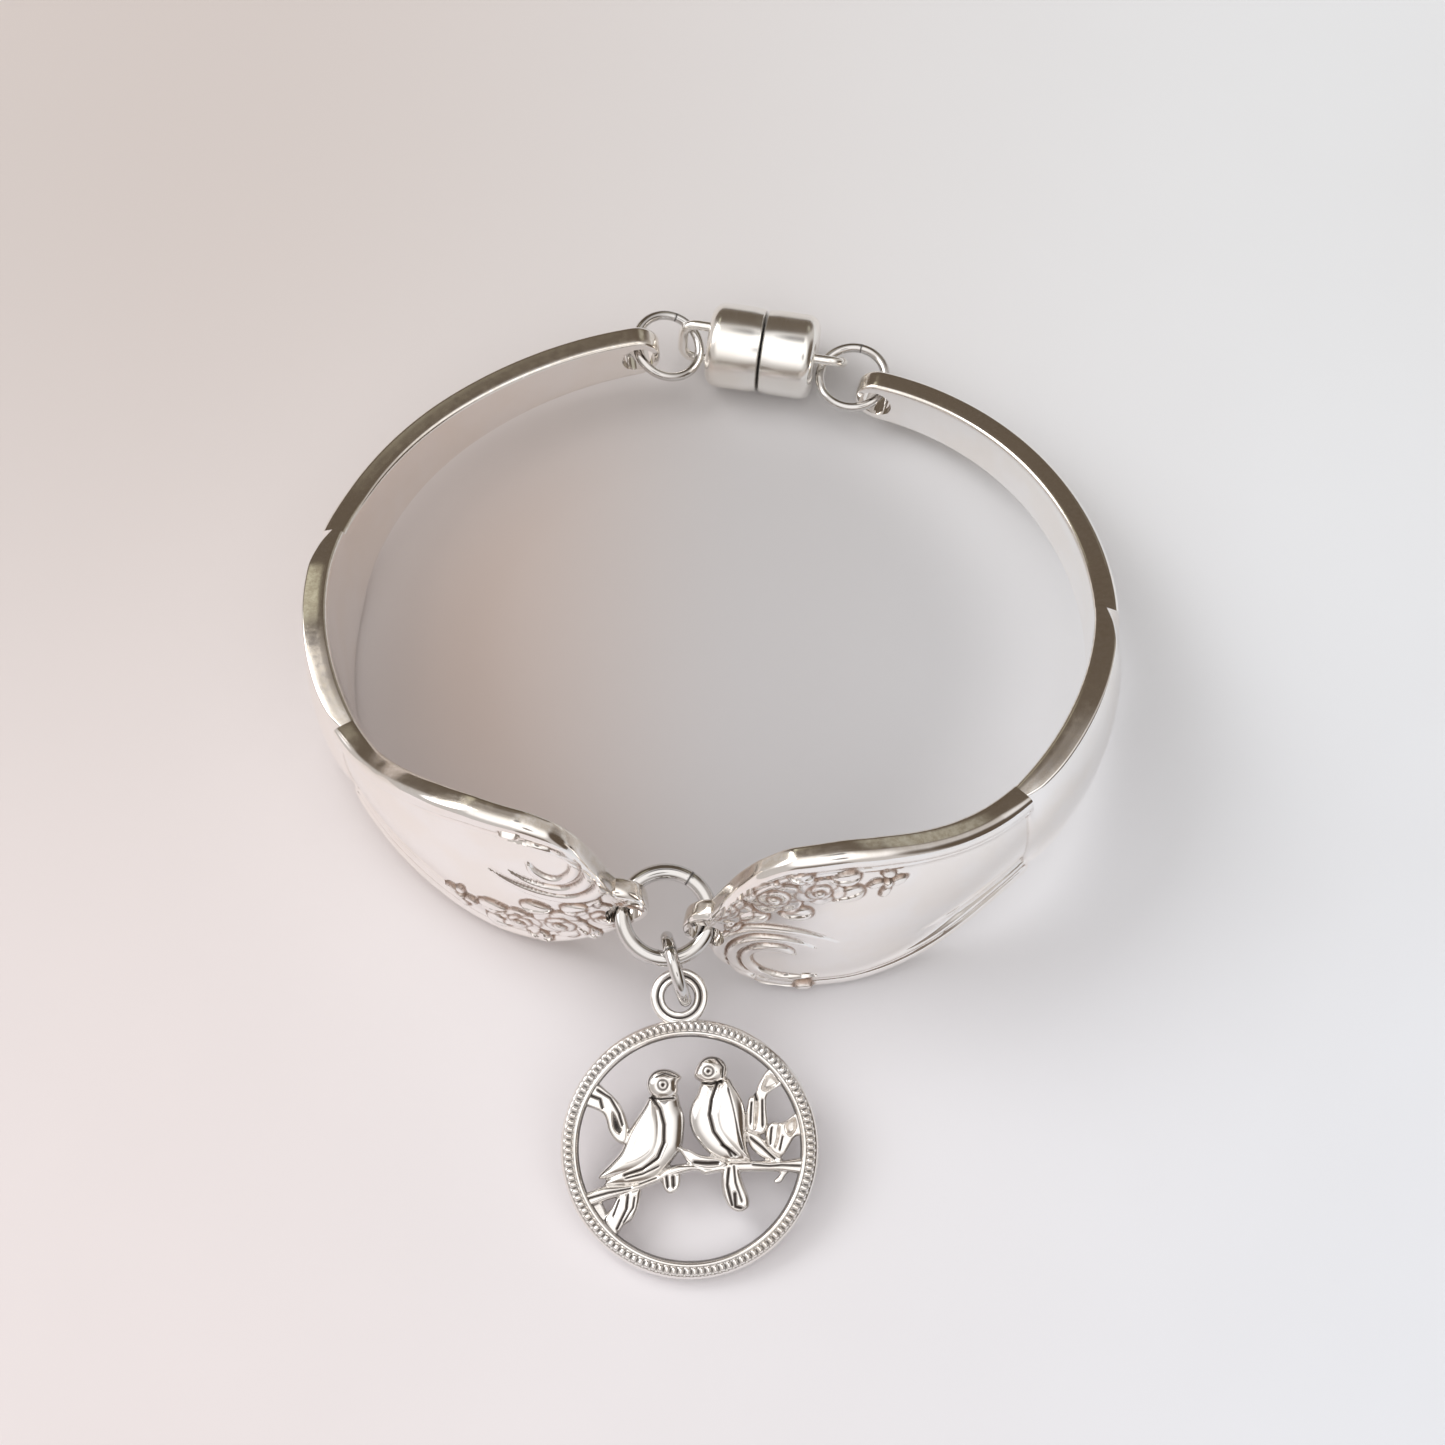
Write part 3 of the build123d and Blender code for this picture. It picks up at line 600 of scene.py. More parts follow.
def ornament(along, side, tip_drop):
    """The broad end's ornament: border, volute, roses and leaves."""
    relief = Relief(along, side)
    rose_edge, scroll_edge, _, _ = wall_shape(along, tip_drop)
    inset = np.minimum(rose_edge + side, scroll_edge - side)
    insets = [row[0] for row in BORDER]
    depths = [row[1] for row in BORDER]
    relief.ground = np.interp(inset, insets, depths) * eased(along, 2.0, 6.0)
    from_middle_along = (along - VOLUTE_MIDDLE[0]) / VOLUTE_REACH[0]
    from_middle_side = (side - VOLUTE_MIDDLE[1]) / VOLUTE_REACH[1]
    hollow_centre = np.exp(-from_middle_along ** 2 - from_middle_side ** 2)
    relief.ground = relief.ground - volute_hollow * hollow_centre
    for path, (half_width, rise) in zip(VOLUTE_PATHS, VOLUTE_ROLLS):
        relief.roll(path, half_width, rise)
    relief.petal(*BORDER_BOSS, 0, 0.50, cup=0.3)
    for spot in SPRAY_LEAVES:
        relief.leaf(*spot)
    for spot in ROSES:
        relief.rose(*spot)
    for along_petal, side_petal, length, angle in END_FLOWER:
        relief.petal(along_petal, side_petal, length / 2, length * 0.3, angle, leaf_height, cup=0.3)
    relief.petal(*BUD_PLACE, bud_radius, bud_radius, 0, rose_height * 0.8)
    near_end = np.clip((broad_length - along) / 0.25, 0, 1)
    return (relief.ground + relief.proud) * near_end, relief.outline * near_end


def blended_face(along, side, half, middle, out):
    """Lets the broad end's inner face run into the lens without a step."""
    lens_start = LENS_SECTIONS[0]
    lens_half = lens_start[1] * lens_width
    share = np.clip(side / lens_half, -1, 1)
    lens_out = (lens_start[2] - 1) * thickness + lens_start[3] * thickness * (1 - share ** 2)
    inset = half - np.abs(side - middle)
    blend = eased(along, 12.0, broad_length) * eased(inset, 1.3, 2.6) * (along <= broad_length)
    return out + blend * (lens_out - out)


class Arm:
    """One bent handle, as in the CAD: side is 1 for the right handle and -1 for the left."""

    def __init__(self, bends, side, heading, lean, tip_drop, hole_at):
        self.bends = bends
        self.side = side
        self.tip_drop = tip_drop
        up = Vector((math.tan(math.radians(lean[0])), math.tan(math.radians(lean[1])), 1)).normalized()
        level = (Vector((1, 0, 0)) - up * up.x).normalized()
        across = up.cross(level)
        turn = math.radians(heading)
        self.x = level * math.cos(turn) + across * math.sin(turn)
        self.z = up
        self.y = self.z.cross(self.x)
        self.origin = Vector((0, 0, 0))
        shift = hole_at - self.hole(hole_setback, tip_drop)
        self.origin = Vector((shift.x, shift.y, 0))

    def bend(self, along):
        """Plan places and headings along the handle."""
        x, y, heading = np.zeros_like(along), np.zeros_like(along), np.zeros_like(along)
        start, at, angle = 0.0, (0.0, 0.0), 0.0
        for share, turn in self.bends:
            span = share * handle_length
            radius = span / math.radians(turn)
            here = along >= start
            swept = self.side * (along - start) / radius
            x = np.where(here, at[0] + self.side * radius * (np.sin(angle + swept) - math.sin(angle)), x)
            y = np.where(here, at[1] - self.side * radius * (np.cos(angle + swept) - math.cos(angle)), y)
            heading = np.where(here, angle + swept, heading)
            ahead = angle + self.side * span / radius
            at = (
                at[0] + self.side * radius * (math.sin(ahead) - math.sin(angle)),
                at[1] - self.side * radius * (math.cos(ahead) - math.cos(angle)),
            )
            angle = ahead
            start += span
        return x, y, heading

    def place(self, along, scroll_side, out):
        """Points of the handle, one row each, from places along, across and out."""
        x, y, heading = self.bend(along)
        x = x + self.side * np.sin(heading) * out
        y = y - self.side * np.cos(heading) * out
        level = np.outer(x.ravel(), self.x) + np.outer(y.ravel(), self.y)
        rise = np.outer((-self.side * scroll_side).ravel(), self.z)
        return level + rise + np.array(self.origin)

    def point(self, along, scroll_side, out):
        return Vector(self.place(np.array([along]), np.array([scroll_side]), np.array([out]))[0])

    def hole(self, along, scroll_side):
        return self.point(along, scroll_side, -thickness / 2)

    def tip_hole(self):
        return self.hole(hole_setback, self.tip_drop)

    def end_hole(self):
        return self.hole(handle_length - hole_setback, 0.0)

    def hole_matrix(self, along, scroll_side):
        here = self.point(along, scroll_side, 0)
        out = self.point(along, scroll_side, 1) - here
        return frame_matrix(self.hole(along, scroll_side), self.z, out)

    def turn_about(self, centre, angle):
        turn = Matrix.Rotation(angle, 3, "Z")
        self.x = turn @ self.x
        self.y = turn @ self.y
        self.z = turn @ self.z
        self.origin = centre + turn @ (self.origin - centre)


def stations():
    """Places along the handle: dense where the ornament is and at the round ends."""
    tip = tip_radius * (1 - np.cos(np.linspace(0, math.pi / 2, 24)))
    broad = np.linspace(tip_radius, broad_length - 0.01, 250)
    lens = np.linspace(broad_length + 0.01, broad_length + lens_length - 0.01, 62)
    end_radius = shank_end_width / 2
    shank = np.linspace(broad_length + lens_length + 0.01, handle_length - end_radius, 54)
    end = handle_length - end_radius * (1 - np.sin(np.linspace(0, math.pi / 2, 14)))
    return np.concatenate([tip, broad[1:], lens, shank, end[1:]])


FACE_STEPS = 150
FACE_CORNER_STEPS = 9
BACK_CORNER_STEPS = 4
SIDE_STEPS = 3
BACK_STEPS = 22


def section_rows(half, middle, low, top, crown, face_round):
    """Rows of (side, out, share of the face, share of the flank) round the wall."""
    back_corner = np.minimum(edge_round, half * 0.9)
    face_corner = np.minimum(np.minimum(face_round, half * 0.5), (top - low) * 0.55)
    rows = []
    for share in np.linspace(-1, 1, FACE_STEPS + 1):
        rows.append((middle + share * (half - face_corner), top + crown * (1 - share ** 2), 1.0, 0.0))
    flank = []
    for step in range(1, FACE_CORNER_STEPS + 1):
        angle = math.pi / 2 * step / FACE_CORNER_STEPS
        across, down = 1 - math.sin(angle), 1 - math.cos(angle)
        flank.append((half - face_corner * across, top - face_corner * down, math.cos(angle), down ** 2))
    for step in range(1, SIDE_STEPS + 1):
        share = step / SIDE_STEPS
        flank.append((half, (top - face_corner) * (1 - share) + (low + back_corner) * share, 0.0, 1.0))
    for step in range(1, BACK_CORNER_STEPS + 1):
        angle = math.pi / 2 * step / BACK_CORNER_STEPS
        across, down = 1 - math.cos(angle), 1 - math.sin(angle)
        flank.append((half - back_corner * across, low + back_corner * down, 0.0, 1 - across))
    rows += [(middle + reach, *rest) for reach, *rest in flank]
    for share in np.linspace(1, -1, BACK_STEPS + 1)[1:-1]:
        rows.append((middle + share * (half - back_corner), low, 0.0, 0.0))
    rows += [(middle - reach, *rest) for reach, *rest in reversed(flank)]
    rows.append(rows[0])
    return rows


def drilled(shape, arm):
    """Mesh of a handle with its tip hole and end hole cut through."""
    drills = []
    for along, side, diameter in (
        (hole_setback, arm.tip_drop, tip_hole_diameter),
        (handle_length - hole_setback, 0.0, end_hole_diameter),
    ):
        drill = bmesh.new()
        bmesh.ops.create_cone(
            drill, cap_ends=True, segments=64, radius1=diameter / 2, radius2=diameter / 2,
            depth=thickness * 4, matrix=arm.hole_matrix(along, side),
        )
        drills.append(as_object(drill, "drill"))
    cuts = [{"operation": "DIFFERENCE", "object": drill, "solver": "EXACT"} for drill in drills]
    mesh = with_modifiers(shape, [("BOOLEAN", settings) for settings in cuts])
    for drill in drills:
        bpy.data.objects.remove(drill)
    return mesh


def handle_piece(name, arm):
    """Bent spoon handle with its ornament, from one grid wrapped round the wall."""
    along = stations()
    rose, scroll, edge, crown = wall_shape(along, arm.tip_drop)
    end_gap = np.minimum(along, handle_length - along)
    short = np.clip(edge_round - end_gap, 0, edge_round)
    pull = edge_round - np.sqrt(edge_round ** 2 - short ** 2)
    half = (rose + scroll) / 2
    middle = (scroll - rose) / 2
    face_round = np.interp(along, *zip(*FACE_ROUNDING))
    rows = section_rows(half, middle, pull - thickness, edge - pull, crown, face_round)
    side, out, face_share, flank = (
        np.array([np.broadcast_to(row[k], along.shape) for row in rows]) for k in range(4)
    )
    grid = np.broadcast_to(along, side.shape)
    on_face = face_share == 1.0
    out = np.where(on_face, blended_face(grid, side, half, middle, out), out)
    rise, outline = ornament(grid, side, arm.tip_drop)
    out = out + rise * on_face
    outline = outline * on_face
    places = arm.place(grid, side, out)

    shape = bmesh.new()
    bmesh.ops.create_grid(shape, x_segments=len(along) - 1, y_segments=len(rows) - 1, size=1.0)
    flank_layer = shape.verts.layers.float.new("flank")
    outline_layer = shape.verts.layers.float.new("outline")
    last_column, last_row = len(along) - 1, len(rows) - 1
    for vert in shape.verts:
        column = round((vert.co.x + 1) / 2 * last_column)
        line = round((vert.co.y + 1) / 2 * last_row)
        vert.co = places[line * len(along) + column]
        vert[flank_layer] = flank[line][column]
        vert[outline_layer] = outline[line][column]
    bmesh.ops.remove_doubles(shape, verts=shape.verts, dist=1e-4)
    bmesh.ops.dissolve_degenerate(shape, edges=shape.edges, dist=1e-5)
    bmesh.ops.recalc_face_normals(shape, faces=shape.faces)
    lowest = min(vert.co.z for vert in shape.verts)
    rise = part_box(name)[0][2] / MILLIMETRE - lowest
    bmesh.ops.translate(shape, verts=shape.verts, vec=(0, 0, rise))
    arm.origin.z += rise
    mesh = drilled(shape, arm)
    darken_hollows(mesh, 0.5, 3.0)
    return finish_piece(name + "_silver", mesh, polished_silver, name, sharp=50.0)


# Plan of the loop, as in the CAD
front_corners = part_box("front_ring")
front_centre = (vector(front_corners[0]) + vector(front_corners[1])) / 2 / MILLIMETRE
plan_centre = Vector((front_centre.x, front_centre.y, 0))
slope = math.radians(front_slope)
front_line = Vector((math.cos(slope), math.sin(slope), 0))
hole_reach = (front_ring_size[0] - front_ring_size[1] - ring_slack) / 2
right_spot = plan_centre + front_line * hole_reach
left_spot = plan_centre - front_line * hole_reach
right_arm = Arm(RIGHT_BENDS, 1, right_heading, right_lean, right_tip_drop, right_spot)
left_arm = Arm(LEFT_BENDS, -1, left_heading, left_lean, left_tip_drop, left_spot)

loop_middle = (loop_reach - loop_wire) / 2
chain_half = clasp_body_length / 2 + loop_middle
back_link = back_ring_size[0] - back_ring_size[1] - ring_slack
back_spacing = 2 * (chain_half + math.sqrt(back_link ** 2 - clasp_bow ** 2))
pivot = left_arm.tip_hole()
left_run = (left_arm.end_hole() - pivot).to_2d()
target_run = (right_arm.end_hole() - pivot).to_2d()
squares = left_run.length ** 2 + target_run.length ** 2 - back_spacing ** 2
opening = math.acos(squares / (2 * left_run.length * target_run.length))
target_angle = math.atan2(target_run.y, target_run.x) + opening
left_arm.turn_about(pivot, target_angle - math.atan2(left_run.y, left_run.x))

handle_piece("right_handle", right_arm)
handle_piece("left_handle", left_arm)


# Jump rings


def tilted(along, tilt):
    """Normal tilted from upright towards -Y, square to a direction."""
    upright = Vector((0, -math.sin(math.radians(tilt)), math.cos(math.radians(tilt))))
    along = along.normalized()
    return (upright - along * upright.dot(along)).normalized()


# Steps round a ring and round its wire, then half angle of the closed joint in degrees
# and the share of the wire's width that is left there
RING_STEPS = 144
WIRE_STEPS = 28
JOINT_ANGLE = 1.5
JOINT_PINCH = 0.93


def ring_piece(node, size, normal, seam_towards):
    """Jump ring of round wire with the fine joint where it was closed."""
    diameter, wire = size
    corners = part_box(node)
    centre = (vector(corners[0]) + vector(corners[1])) / 2 / MILLIMETRE
    mean = (diameter - wire) / 2
    profile = []
    for step in range(WIRE_STEPS):
        a = 2 * math.pi * step / WIRE_STEPS
        profile.append((mean + wire / 2 * math.cos(a), wire / 2 * math.sin(a)))
    shape = spun(profile, RING_STEPS, Matrix.Identity(4))
    patina_and_shade_layer = shape.verts.layers.float.new("patina_and_shade")
    for vert in shape.verts:
        angle = math.atan2(vert.co.y, vert.co.x)
        if abs(angle) < math.radians(JOINT_ANGLE):
            middle = Vector((math.cos(angle), math.sin(angle), 0)) * mean
            vert.co = middle + (vert.co - middle) * JOINT_PINCH
            vert[patina_and_shade_layer] = 0.9
    bmesh.ops.transform(shape, matrix=frame_matrix(centre, seam_towards, normal), verts=shape.verts)
    new_piece(node + "_wire", shape, ring_silver, node)


right_tip = right_arm.tip_hole()
left_tip = left_arm.tip_hole()
right_end = right_arm.end_hole()
left_end = left_arm.end_hole()
front_normal = tilted(right_tip - left_tip, front_ring_tilt)
ring_piece("front_ring", front_ring_size, front_normal, Vector((0.5, 0.8, 0)))
ring_piece("charm_ring", charm_ring_size, Vector(charm_ring_axis), Vector((0, 0.3, 1)))

chord = right_end - left_end
chord.z = 0
clasp_x = chord.normalized()
clasp_centre = (right_end + left_end) / 2 + Vector((-clasp_x.y, clasp_x.x, 0)) * clasp_bow
clasp_centre.z = clasp_diameter / 2
right_link = clasp_centre + clasp_x * chain_half
left_link = clasp_centre - clasp_x * chain_half
right_normal = tilted(right_end - right_link, right_ring_tilt)
left_normal = tilted(left_end - left_link, left_ring_tilt)
ring_piece("back_ring_right", back_ring_size, right_normal, Vector((0.3, 1, 0)))
ring_piece("back_ring_left", back_ring_size, left_normal, Vector((0.2, 1, 0)))


# Magnetic clasp


def clasp_piece(node, outward, lean):
    """Half of the barrel clasp, slimmer towards the seam, with its soldered wire loop."""
    half = clasp_body_length / 2
    seam = clasp_seam / 2
    radius = clasp_diameter / 2
    collar = collar_diameter / 2
    profile = [(0, seam), (collar - 0.22, seam), (collar - 0.06, seam + 0.04), (collar + 0.05, seam + 0.14)]
    profile += [(radius - 0.06, collar_length / 2), (radius, collar_length)]
    for step in range(9):
        a = math.pi / 2 * step / 8
        inward, outward_step = 1 - math.cos(a), math.sin(a) - 1
        profile.append((radius - shoulder_round * inward, half + shoulder_round * outward_step))
    profile.append((0, half))
    axis = clasp_x * outward
    matrix = frame_matrix(clasp_centre, (0, 0, 1), axis)
    shape = spun(profile, 128, matrix, closed=False)
    patina_and_shade_layer = shape.verts.layers.float.new("patina_and_shade")
    for vert in shape.verts:
        near = abs((vert.co - clasp_centre).dot(axis) - seam)
        vert[patina_and_shade_layer] = 0.35 if near < 0.06 else 0.0
    new_piece(node + "_barrel", shape, clasp_silver, node, sharp=35.0)
    loop_piece(node + "_loop", axis, lean, half)


def loop_piece(name, axis, lean, half):
    """Bent wire loop soldered to the barrel's end."""
    mean = (loop_width - loop_wire) / 2
    reach = half + loop_reach - loop_wire / 2
    root = half - loop_wire * 0.5
    points = [(root, -mean)]
    for centre_side, start in ((-1, -90), (1, 0)):
        for step in range(9):
            a = math.radians(start + 90 * step / 8)
            points.append((
                reach - loop_corner + loop_corner * math.cos(a),
                centre_side * (mean - loop_corner) + loop_corner * math.sin(a),
            ))
    points.append((root, mean))
    turn = math.radians(lean)
    tall = Vector((0, 0, math.cos(turn))) + axis.cross(Vector((0, 0, 1))) * math.sin(turn)
    curve = bpy.data.curves.new("loop", "CURVE")
    curve.dimensions = "3D"
    curve.bevel_depth = loop_wire / 2
    curve.bevel_resolution = 6
    curve.use_fill_caps = True
    spline = curve.splines.new("POLY")
    spline.points.add(len(points) - 1)
    for point, (out, up) in zip(spline.points, points):
        point.co = (*(clasp_centre + axis * out + tall * up), 1)
    holder = bpy.data.objects.new("loop", curve)
    bpy.context.scene.collection.objects.link(holder)
    graph = bpy.context.evaluated_depsgraph_get()
    mesh = bpy.data.meshes.new_from_object(holder.evaluated_get(graph))
    bpy.data.objects.remove(holder)
    finish_piece(name, mesh, clasp_silver)


clasp_piece("clasp_right", 1, right_loop_lean)
clasp_piece("clasp_left", -1, left_loop_lean)


# Bird charm


# Forms of the charm: outline in shares of its radius with +y to the bail, height at
# the outline and at the crest, and how far in from the outline the crest lies, in mm
FORMS = (
    # Left bird: head with its beak, body and breast, wing, edge of the wing
    (((-0.345, 0.49), (-0.325, 0.555), (-0.27, 0.60), (-0.20, 0.612), (-0.13, 0.595), (-0.07, 0.55),
      (-0.10, 0.50), (-0.10, 0.43), (-0.16, 0.375), (-0.25, 0.37), (-0.32, 0.415)), 0.05, 0.90, 1.20),
    (((-0.31, 0.40), (-0.22, 0.44), (-0.11, 0.43), (-0.075, 0.33), (-0.045, 0.24), (-0.045, 0.12),
      (-0.06, 0.01), (-0.11, -0.07), (-0.19, -0.17), (-0.26, -0.24), (-0.38, -0.28), (-0.50, -0.295),
      (-0.655, -0.29), (-0.60, -0.20), (-0.45, -0.05), (-0.35, 0.20)), -0.05, 0.80, 1.70),
    (((-0.305, 0.40), (-0.24, 0.30), (-0.205, 0.18), (-0.205, 0.04), (-0.25, -0.07), (-0.36, -0.155),
      (-0.50, -0.205), (-0.68, -0.245), (-0.695, -0.21), (-0.60, -0.105), (-0.53, -0.02), (-0.475, 0.12),
      (-0.42, 0.22), (-0.36, 0.32)), 0.15, 1.00, 1.45),
    # Right bird: head with its beak, body and breast, wing
    (((0.025, 0.555), (0.045, 0.635), (0.095, 0.695), (0.165, 0.715), (0.24, 0.69), (0.285, 0.63),
      (0.28, 0.555), (0.235, 0.515), (0.16, 0.495), (0.085, 0.51)), 0.05, 0.90, 1.20),
    (((0.095, 0.52), (0.235, 0.53), (0.29, 0.45), (0.40, 0.10), (0.46, -0.08), (0.30, -0.10),
      (0.22, -0.08), (0.14, -0.03), (0.07, 0.045), (0.02, 0.12), (-0.005, 0.20), (-0.005, 0.29),
      (0.015, 0.36), (0.05, 0.42)), -0.05, 0.80, 1.70),
    (((0.245, 0.525), (0.30, 0.545), (0.34, 0.49), (0.385, 0.42), (0.415, 0.34), (0.43, 0.24),
      (0.435, 0.12), (0.445, 0.02), (0.475, -0.085), (0.36, -0.04), (0.26, 0.04), (0.19, 0.13),
      (0.16, 0.25), (0.17, 0.36), (0.20, 0.44)), 0.15, 1.00, 1.35),
    # Tails
    (((0.29, -0.10), (0.25, -0.19), (0.25, -0.30), (0.27, -0.38), (0.31, -0.445), (0.37, -0.48),
      (0.42, -0.475), (0.465, -0.44), (0.465, -0.37), (0.425, -0.27), (0.395, -0.18), (0.39, -0.10)),
     0.10, 0.58, 0.40),
    (((-0.53, -0.36), (-0.38, -0.30), (-0.375, -0.39), (-0.395, -0.48), (-0.43, -0.55), (-0.50, -0.60),
      (-0.56, -0.68), (-0.63, -0.62), (-0.655, -0.55), (-0.60, -0.46)), 0.10, 0.55, 0.45),
    (((-0.78, -0.42), (-0.70, -0.40), (-0.64, -0.48), (-0.62, -0.60), (-0.68, -0.60)), 0.0, 0.28, 0.3),
    # Branch
    (((-0.90, -0.34), (-0.80, -0.345), (-0.66, -0.295), (-0.45, -0.28), (-0.25, -0.20), (-0.14, -0.135),
      (-0.04, -0.115), (0.06, -0.12), (0.16, -0.13), (0.29, -0.10), (0.47, -0.085), (0.69, -0.085),
      (0.90, -0.06), (0.90, -0.18), (0.80, -0.18), (0.69, -0.17), (0.45, -0.175), (0.26, -0.18),
      (0.17, -0.195), (0.12, -0.205), (0.05, -0.175), (-0.10, -0.21), (-0.24, -0.265), (-0.40, -0.33),
      (-0.52, -0.37), (-0.64, -0.41), (-0.76, -0.46), (-0.86, -0.46)), 0.10, 0.55, 0.38),
    # Leaves: on the branch, below it, left and right
    (((-0.08, 0.005), (0.0, -0.005), (0.08, -0.045), (0.20, -0.065), (0.29, -0.10), (0.24, -0.145),
      (0.13, -0.155), (0.04, -0.135), (-0.02, -0.10), (-0.06, -0.05)), 0.15, 0.62, 0.25),
    (((-0.20, -0.20), (-0.21, -0.27), (-0.19, -0.32), (-0.155, -0.35), (-0.11, -0.34), (-0.075, -0.30),
      (-0.065, -0.24), (-0.08, -0.19)), 0.10, 0.50, 0.22),
    (((-0.90, 0.36), (-0.84, 0.47), (-0.74, 0.50), (-0.64, 0.43), (-0.55, 0.34), (-0.50, 0.24),
      (-0.475, 0.14), (-0.495, 0.03), (-0.57, 0.045), (-0.63, 0.12), (-0.655, 0.21), (-0.69, 0.265),
      (-0.80, 0.31)), 0.08, 0.50, 0.30),
    (((0.66, 0.66), (0.60, 0.62), (0.55, 0.55), (0.52, 0.49), (0.50, 0.43), (0.455, 0.395), (0.44, 0.33),
      (0.435, 0.25), (0.445, 0.15), (0.50, 0.125), (0.57, 0.115), (0.605, 0.20), (0.595, 0.30),
      (0.595, 0.40), (0.64, 0.455), (0.74, 0.515), (0.74, 0.58)), 0.08, 0.50, 0.22),
    (((0.88, 0.33), (0.82, 0.29), (0.76, 0.235), (0.70, 0.21), (0.64, 0.215), (0.60, 0.17), (0.585, 0.10),
      (0.60, 0.04), (0.64, -0.02), (0.70, -0.05), (0.74, -0.03), (0.785, 0.05), (0.82, 0.10),
      (0.90, 0.13)), 0.08, 0.48, 0.22),
    (((0.43, 0.145), (0.52, 0.12), (0.57, 0.08), (0.61, 0.02), (0.66, -0.03), (0.72, -0.06), (0.70, -0.11),
      (0.62, -0.085), (0.54, -0.05), (0.475, 0.01), (0.45, 0.07)), 0.08, 0.46, 0.22),
    (((0.74, -0.15), (0.68, -0.15), (0.70, -0.19), (0.655, -0.24), (0.67, -0.262), (0.715, -0.25),
      (0.745, -0.20), (0.77, -0.17)), 0.05, 0.36, 0.16),
)

# Hollows of the leaves and gaps beside the branch: outline, then darkness. The leaves' hollows are dark with
# patina; the darkness of the gaps beside the branch is painted shadow
HOLLOWS = (
    (((-0.605, 0.275), (-0.575, 0.24), (-0.53, 0.135), (-0.55, 0.105), (-0.59, 0.14), (-0.605, 0.21)), 0.75),
    (((0.61, 0.585), (0.69, 0.52), (0.615, 0.46), (0.555, 0.46), (0.57, 0.53)), 0.16),
    (((0.525, 0.375), (0.50, 0.375), (0.495, 0.26), (0.495, 0.155), (0.515, 0.155), (0.53, 0.28)), 0.35),
    (((0.81, 0.25), (0.83, 0.17), (0.80, 0.115), (0.765, 0.11), (0.735, 0.17), (0.755, 0.22)), 0.16),
    (((0.695, 0.20), (0.70, 0.12), (0.68, 0.03), (0.655, 0.02), (0.675, 0.09), (0.68, 0.16)), 0.50),
    # Gaps beside the branch, darkened as painted shadow
    (((-0.10, -0.075), (-0.055, -0.105), (-0.165, -0.155)), 0.75),
    (((-0.65, -0.455), (-0.62, -0.415), (-0.555, -0.385), (-0.60, -0.455)), 0.75),
)

# Engraved lines: points in shares of the radius, then half width and depth in mm
GROOVES = (
    (((-0.30, 0.39), (-0.235, 0.30), (-0.20, 0.18), (-0.20, 0.04), (-0.245, -0.075), (-0.36, -0.16),
      (-0.50, -0.21)), 0.11, 0.20),
    (((-0.49, -0.235), (-0.36, -0.20), (-0.24, -0.14)), 0.07, 0.10),
    (((-0.32, 0.385), (-0.23, 0.375), (-0.13, 0.385)), 0.08, 0.16),
    (((-0.27, 0.545), (-0.20, 0.575), (-0.12, 0.55)), 0.06, 0.06),
    (((0.205, 0.50), (0.165, 0.38), (0.15, 0.26), (0.185, 0.13), (0.26, 0.03), (0.36, -0.045)), 0.11, 0.20),
    (((0.25, 0.03), (0.295, 0.0), (0.325, -0.055)), 0.08, 0.12),
    (((0.29, 0.47), (0.335, 0.30), (0.37, 0.14), (0.41, 0.0)), 0.06, 0.07),
    (((0.09, 0.505), (0.16, 0.495), (0.24, 0.525)), 0.08, 0.16),
    (((0.20, 0.69), (0.25, 0.63), (0.245, 0.55)), 0.07, 0.10),
    (((0.305, -0.15), (0.295, -0.28), (0.335, -0.43)), 0.10, 0.16),
    (((0.345, -0.13), (0.36, -0.26), (0.41, -0.40)), 0.07, 0.10),
    (((0.355, -0.34), (0.36, -0.44), (0.405, -0.45)), 0.12, 0.18),
    (((-0.47, -0.36), (-0.48, -0.47), (-0.55, -0.62)), 0.09, 0.14),
    (((-0.42, -0.38), (-0.43, -0.46), (-0.50, -0.57)), 0.07, 0.10),
    (((-0.54, -0.40), (-0.58, -0.52)), 0.08, 0.12),
    (((-0.84, -0.41), (-0.62, -0.345), (-0.45, -0.31)), 0.07, 0.10),
    (((-0.38, -0.275), (-0.25, -0.225)), 0.06, 0.08),
    (((0.49, -0.115), (0.62, -0.125), (0.72, -0.115), (0.86, -0.12)), 0.07, 0.10),
    (((0.04, -0.105), (0.14, -0.11), (0.22, -0.105)), 0.13, 0.18),
    (((-0.175, -0.22), (-0.165, -0.30)), 0.09, 0.16),
    (((-0.125, -0.22), (-0.12, -0.29)), 0.11, 0.18),
    (((-0.78, 0.40), (-0.70, 0.37), (-0.68, 0.30)), 0.09, 0.14),
    (((-0.72, 0.44), (-0.62, 0.38), (-0.55, 0.26), (-0.525, 0.17)), 0.09, 0.14),
    (((0.50, 0.43), (0.515, 0.38)), 0.10, 0.16),
    (((0.475, 0.36), (0.47, 0.20)), 0.08, 0.12),
    (((0.56, 0.38), (0.565, 0.18)), 0.08, 0.12),
    (((0.635, 0.17), (0.625, 0.04)), 0.08, 0.12),
    (((0.72, 0.10), (0.70, 0.0)), 0.08, 0.10),
    (((0.47, 0.09), (0.56, 0.02), (0.66, -0.07)), 0.09, 0.14),
)

# Eyes: places in shares of the charm's radius, then radii of the ring and pupil in mm
EYES = ((-0.215, 0.485), (0.135, 0.595))
eye_ring = 0.38
pupil = 0.17

# The birds are modelled from a flat blank: half its thickness, how near its faces the
# modelling is full, the highest place and the size of the remesh, in mm
blank_half = 0.5
blank_near = 0.45
birds_top = 0.99
voxel_size = 0.068


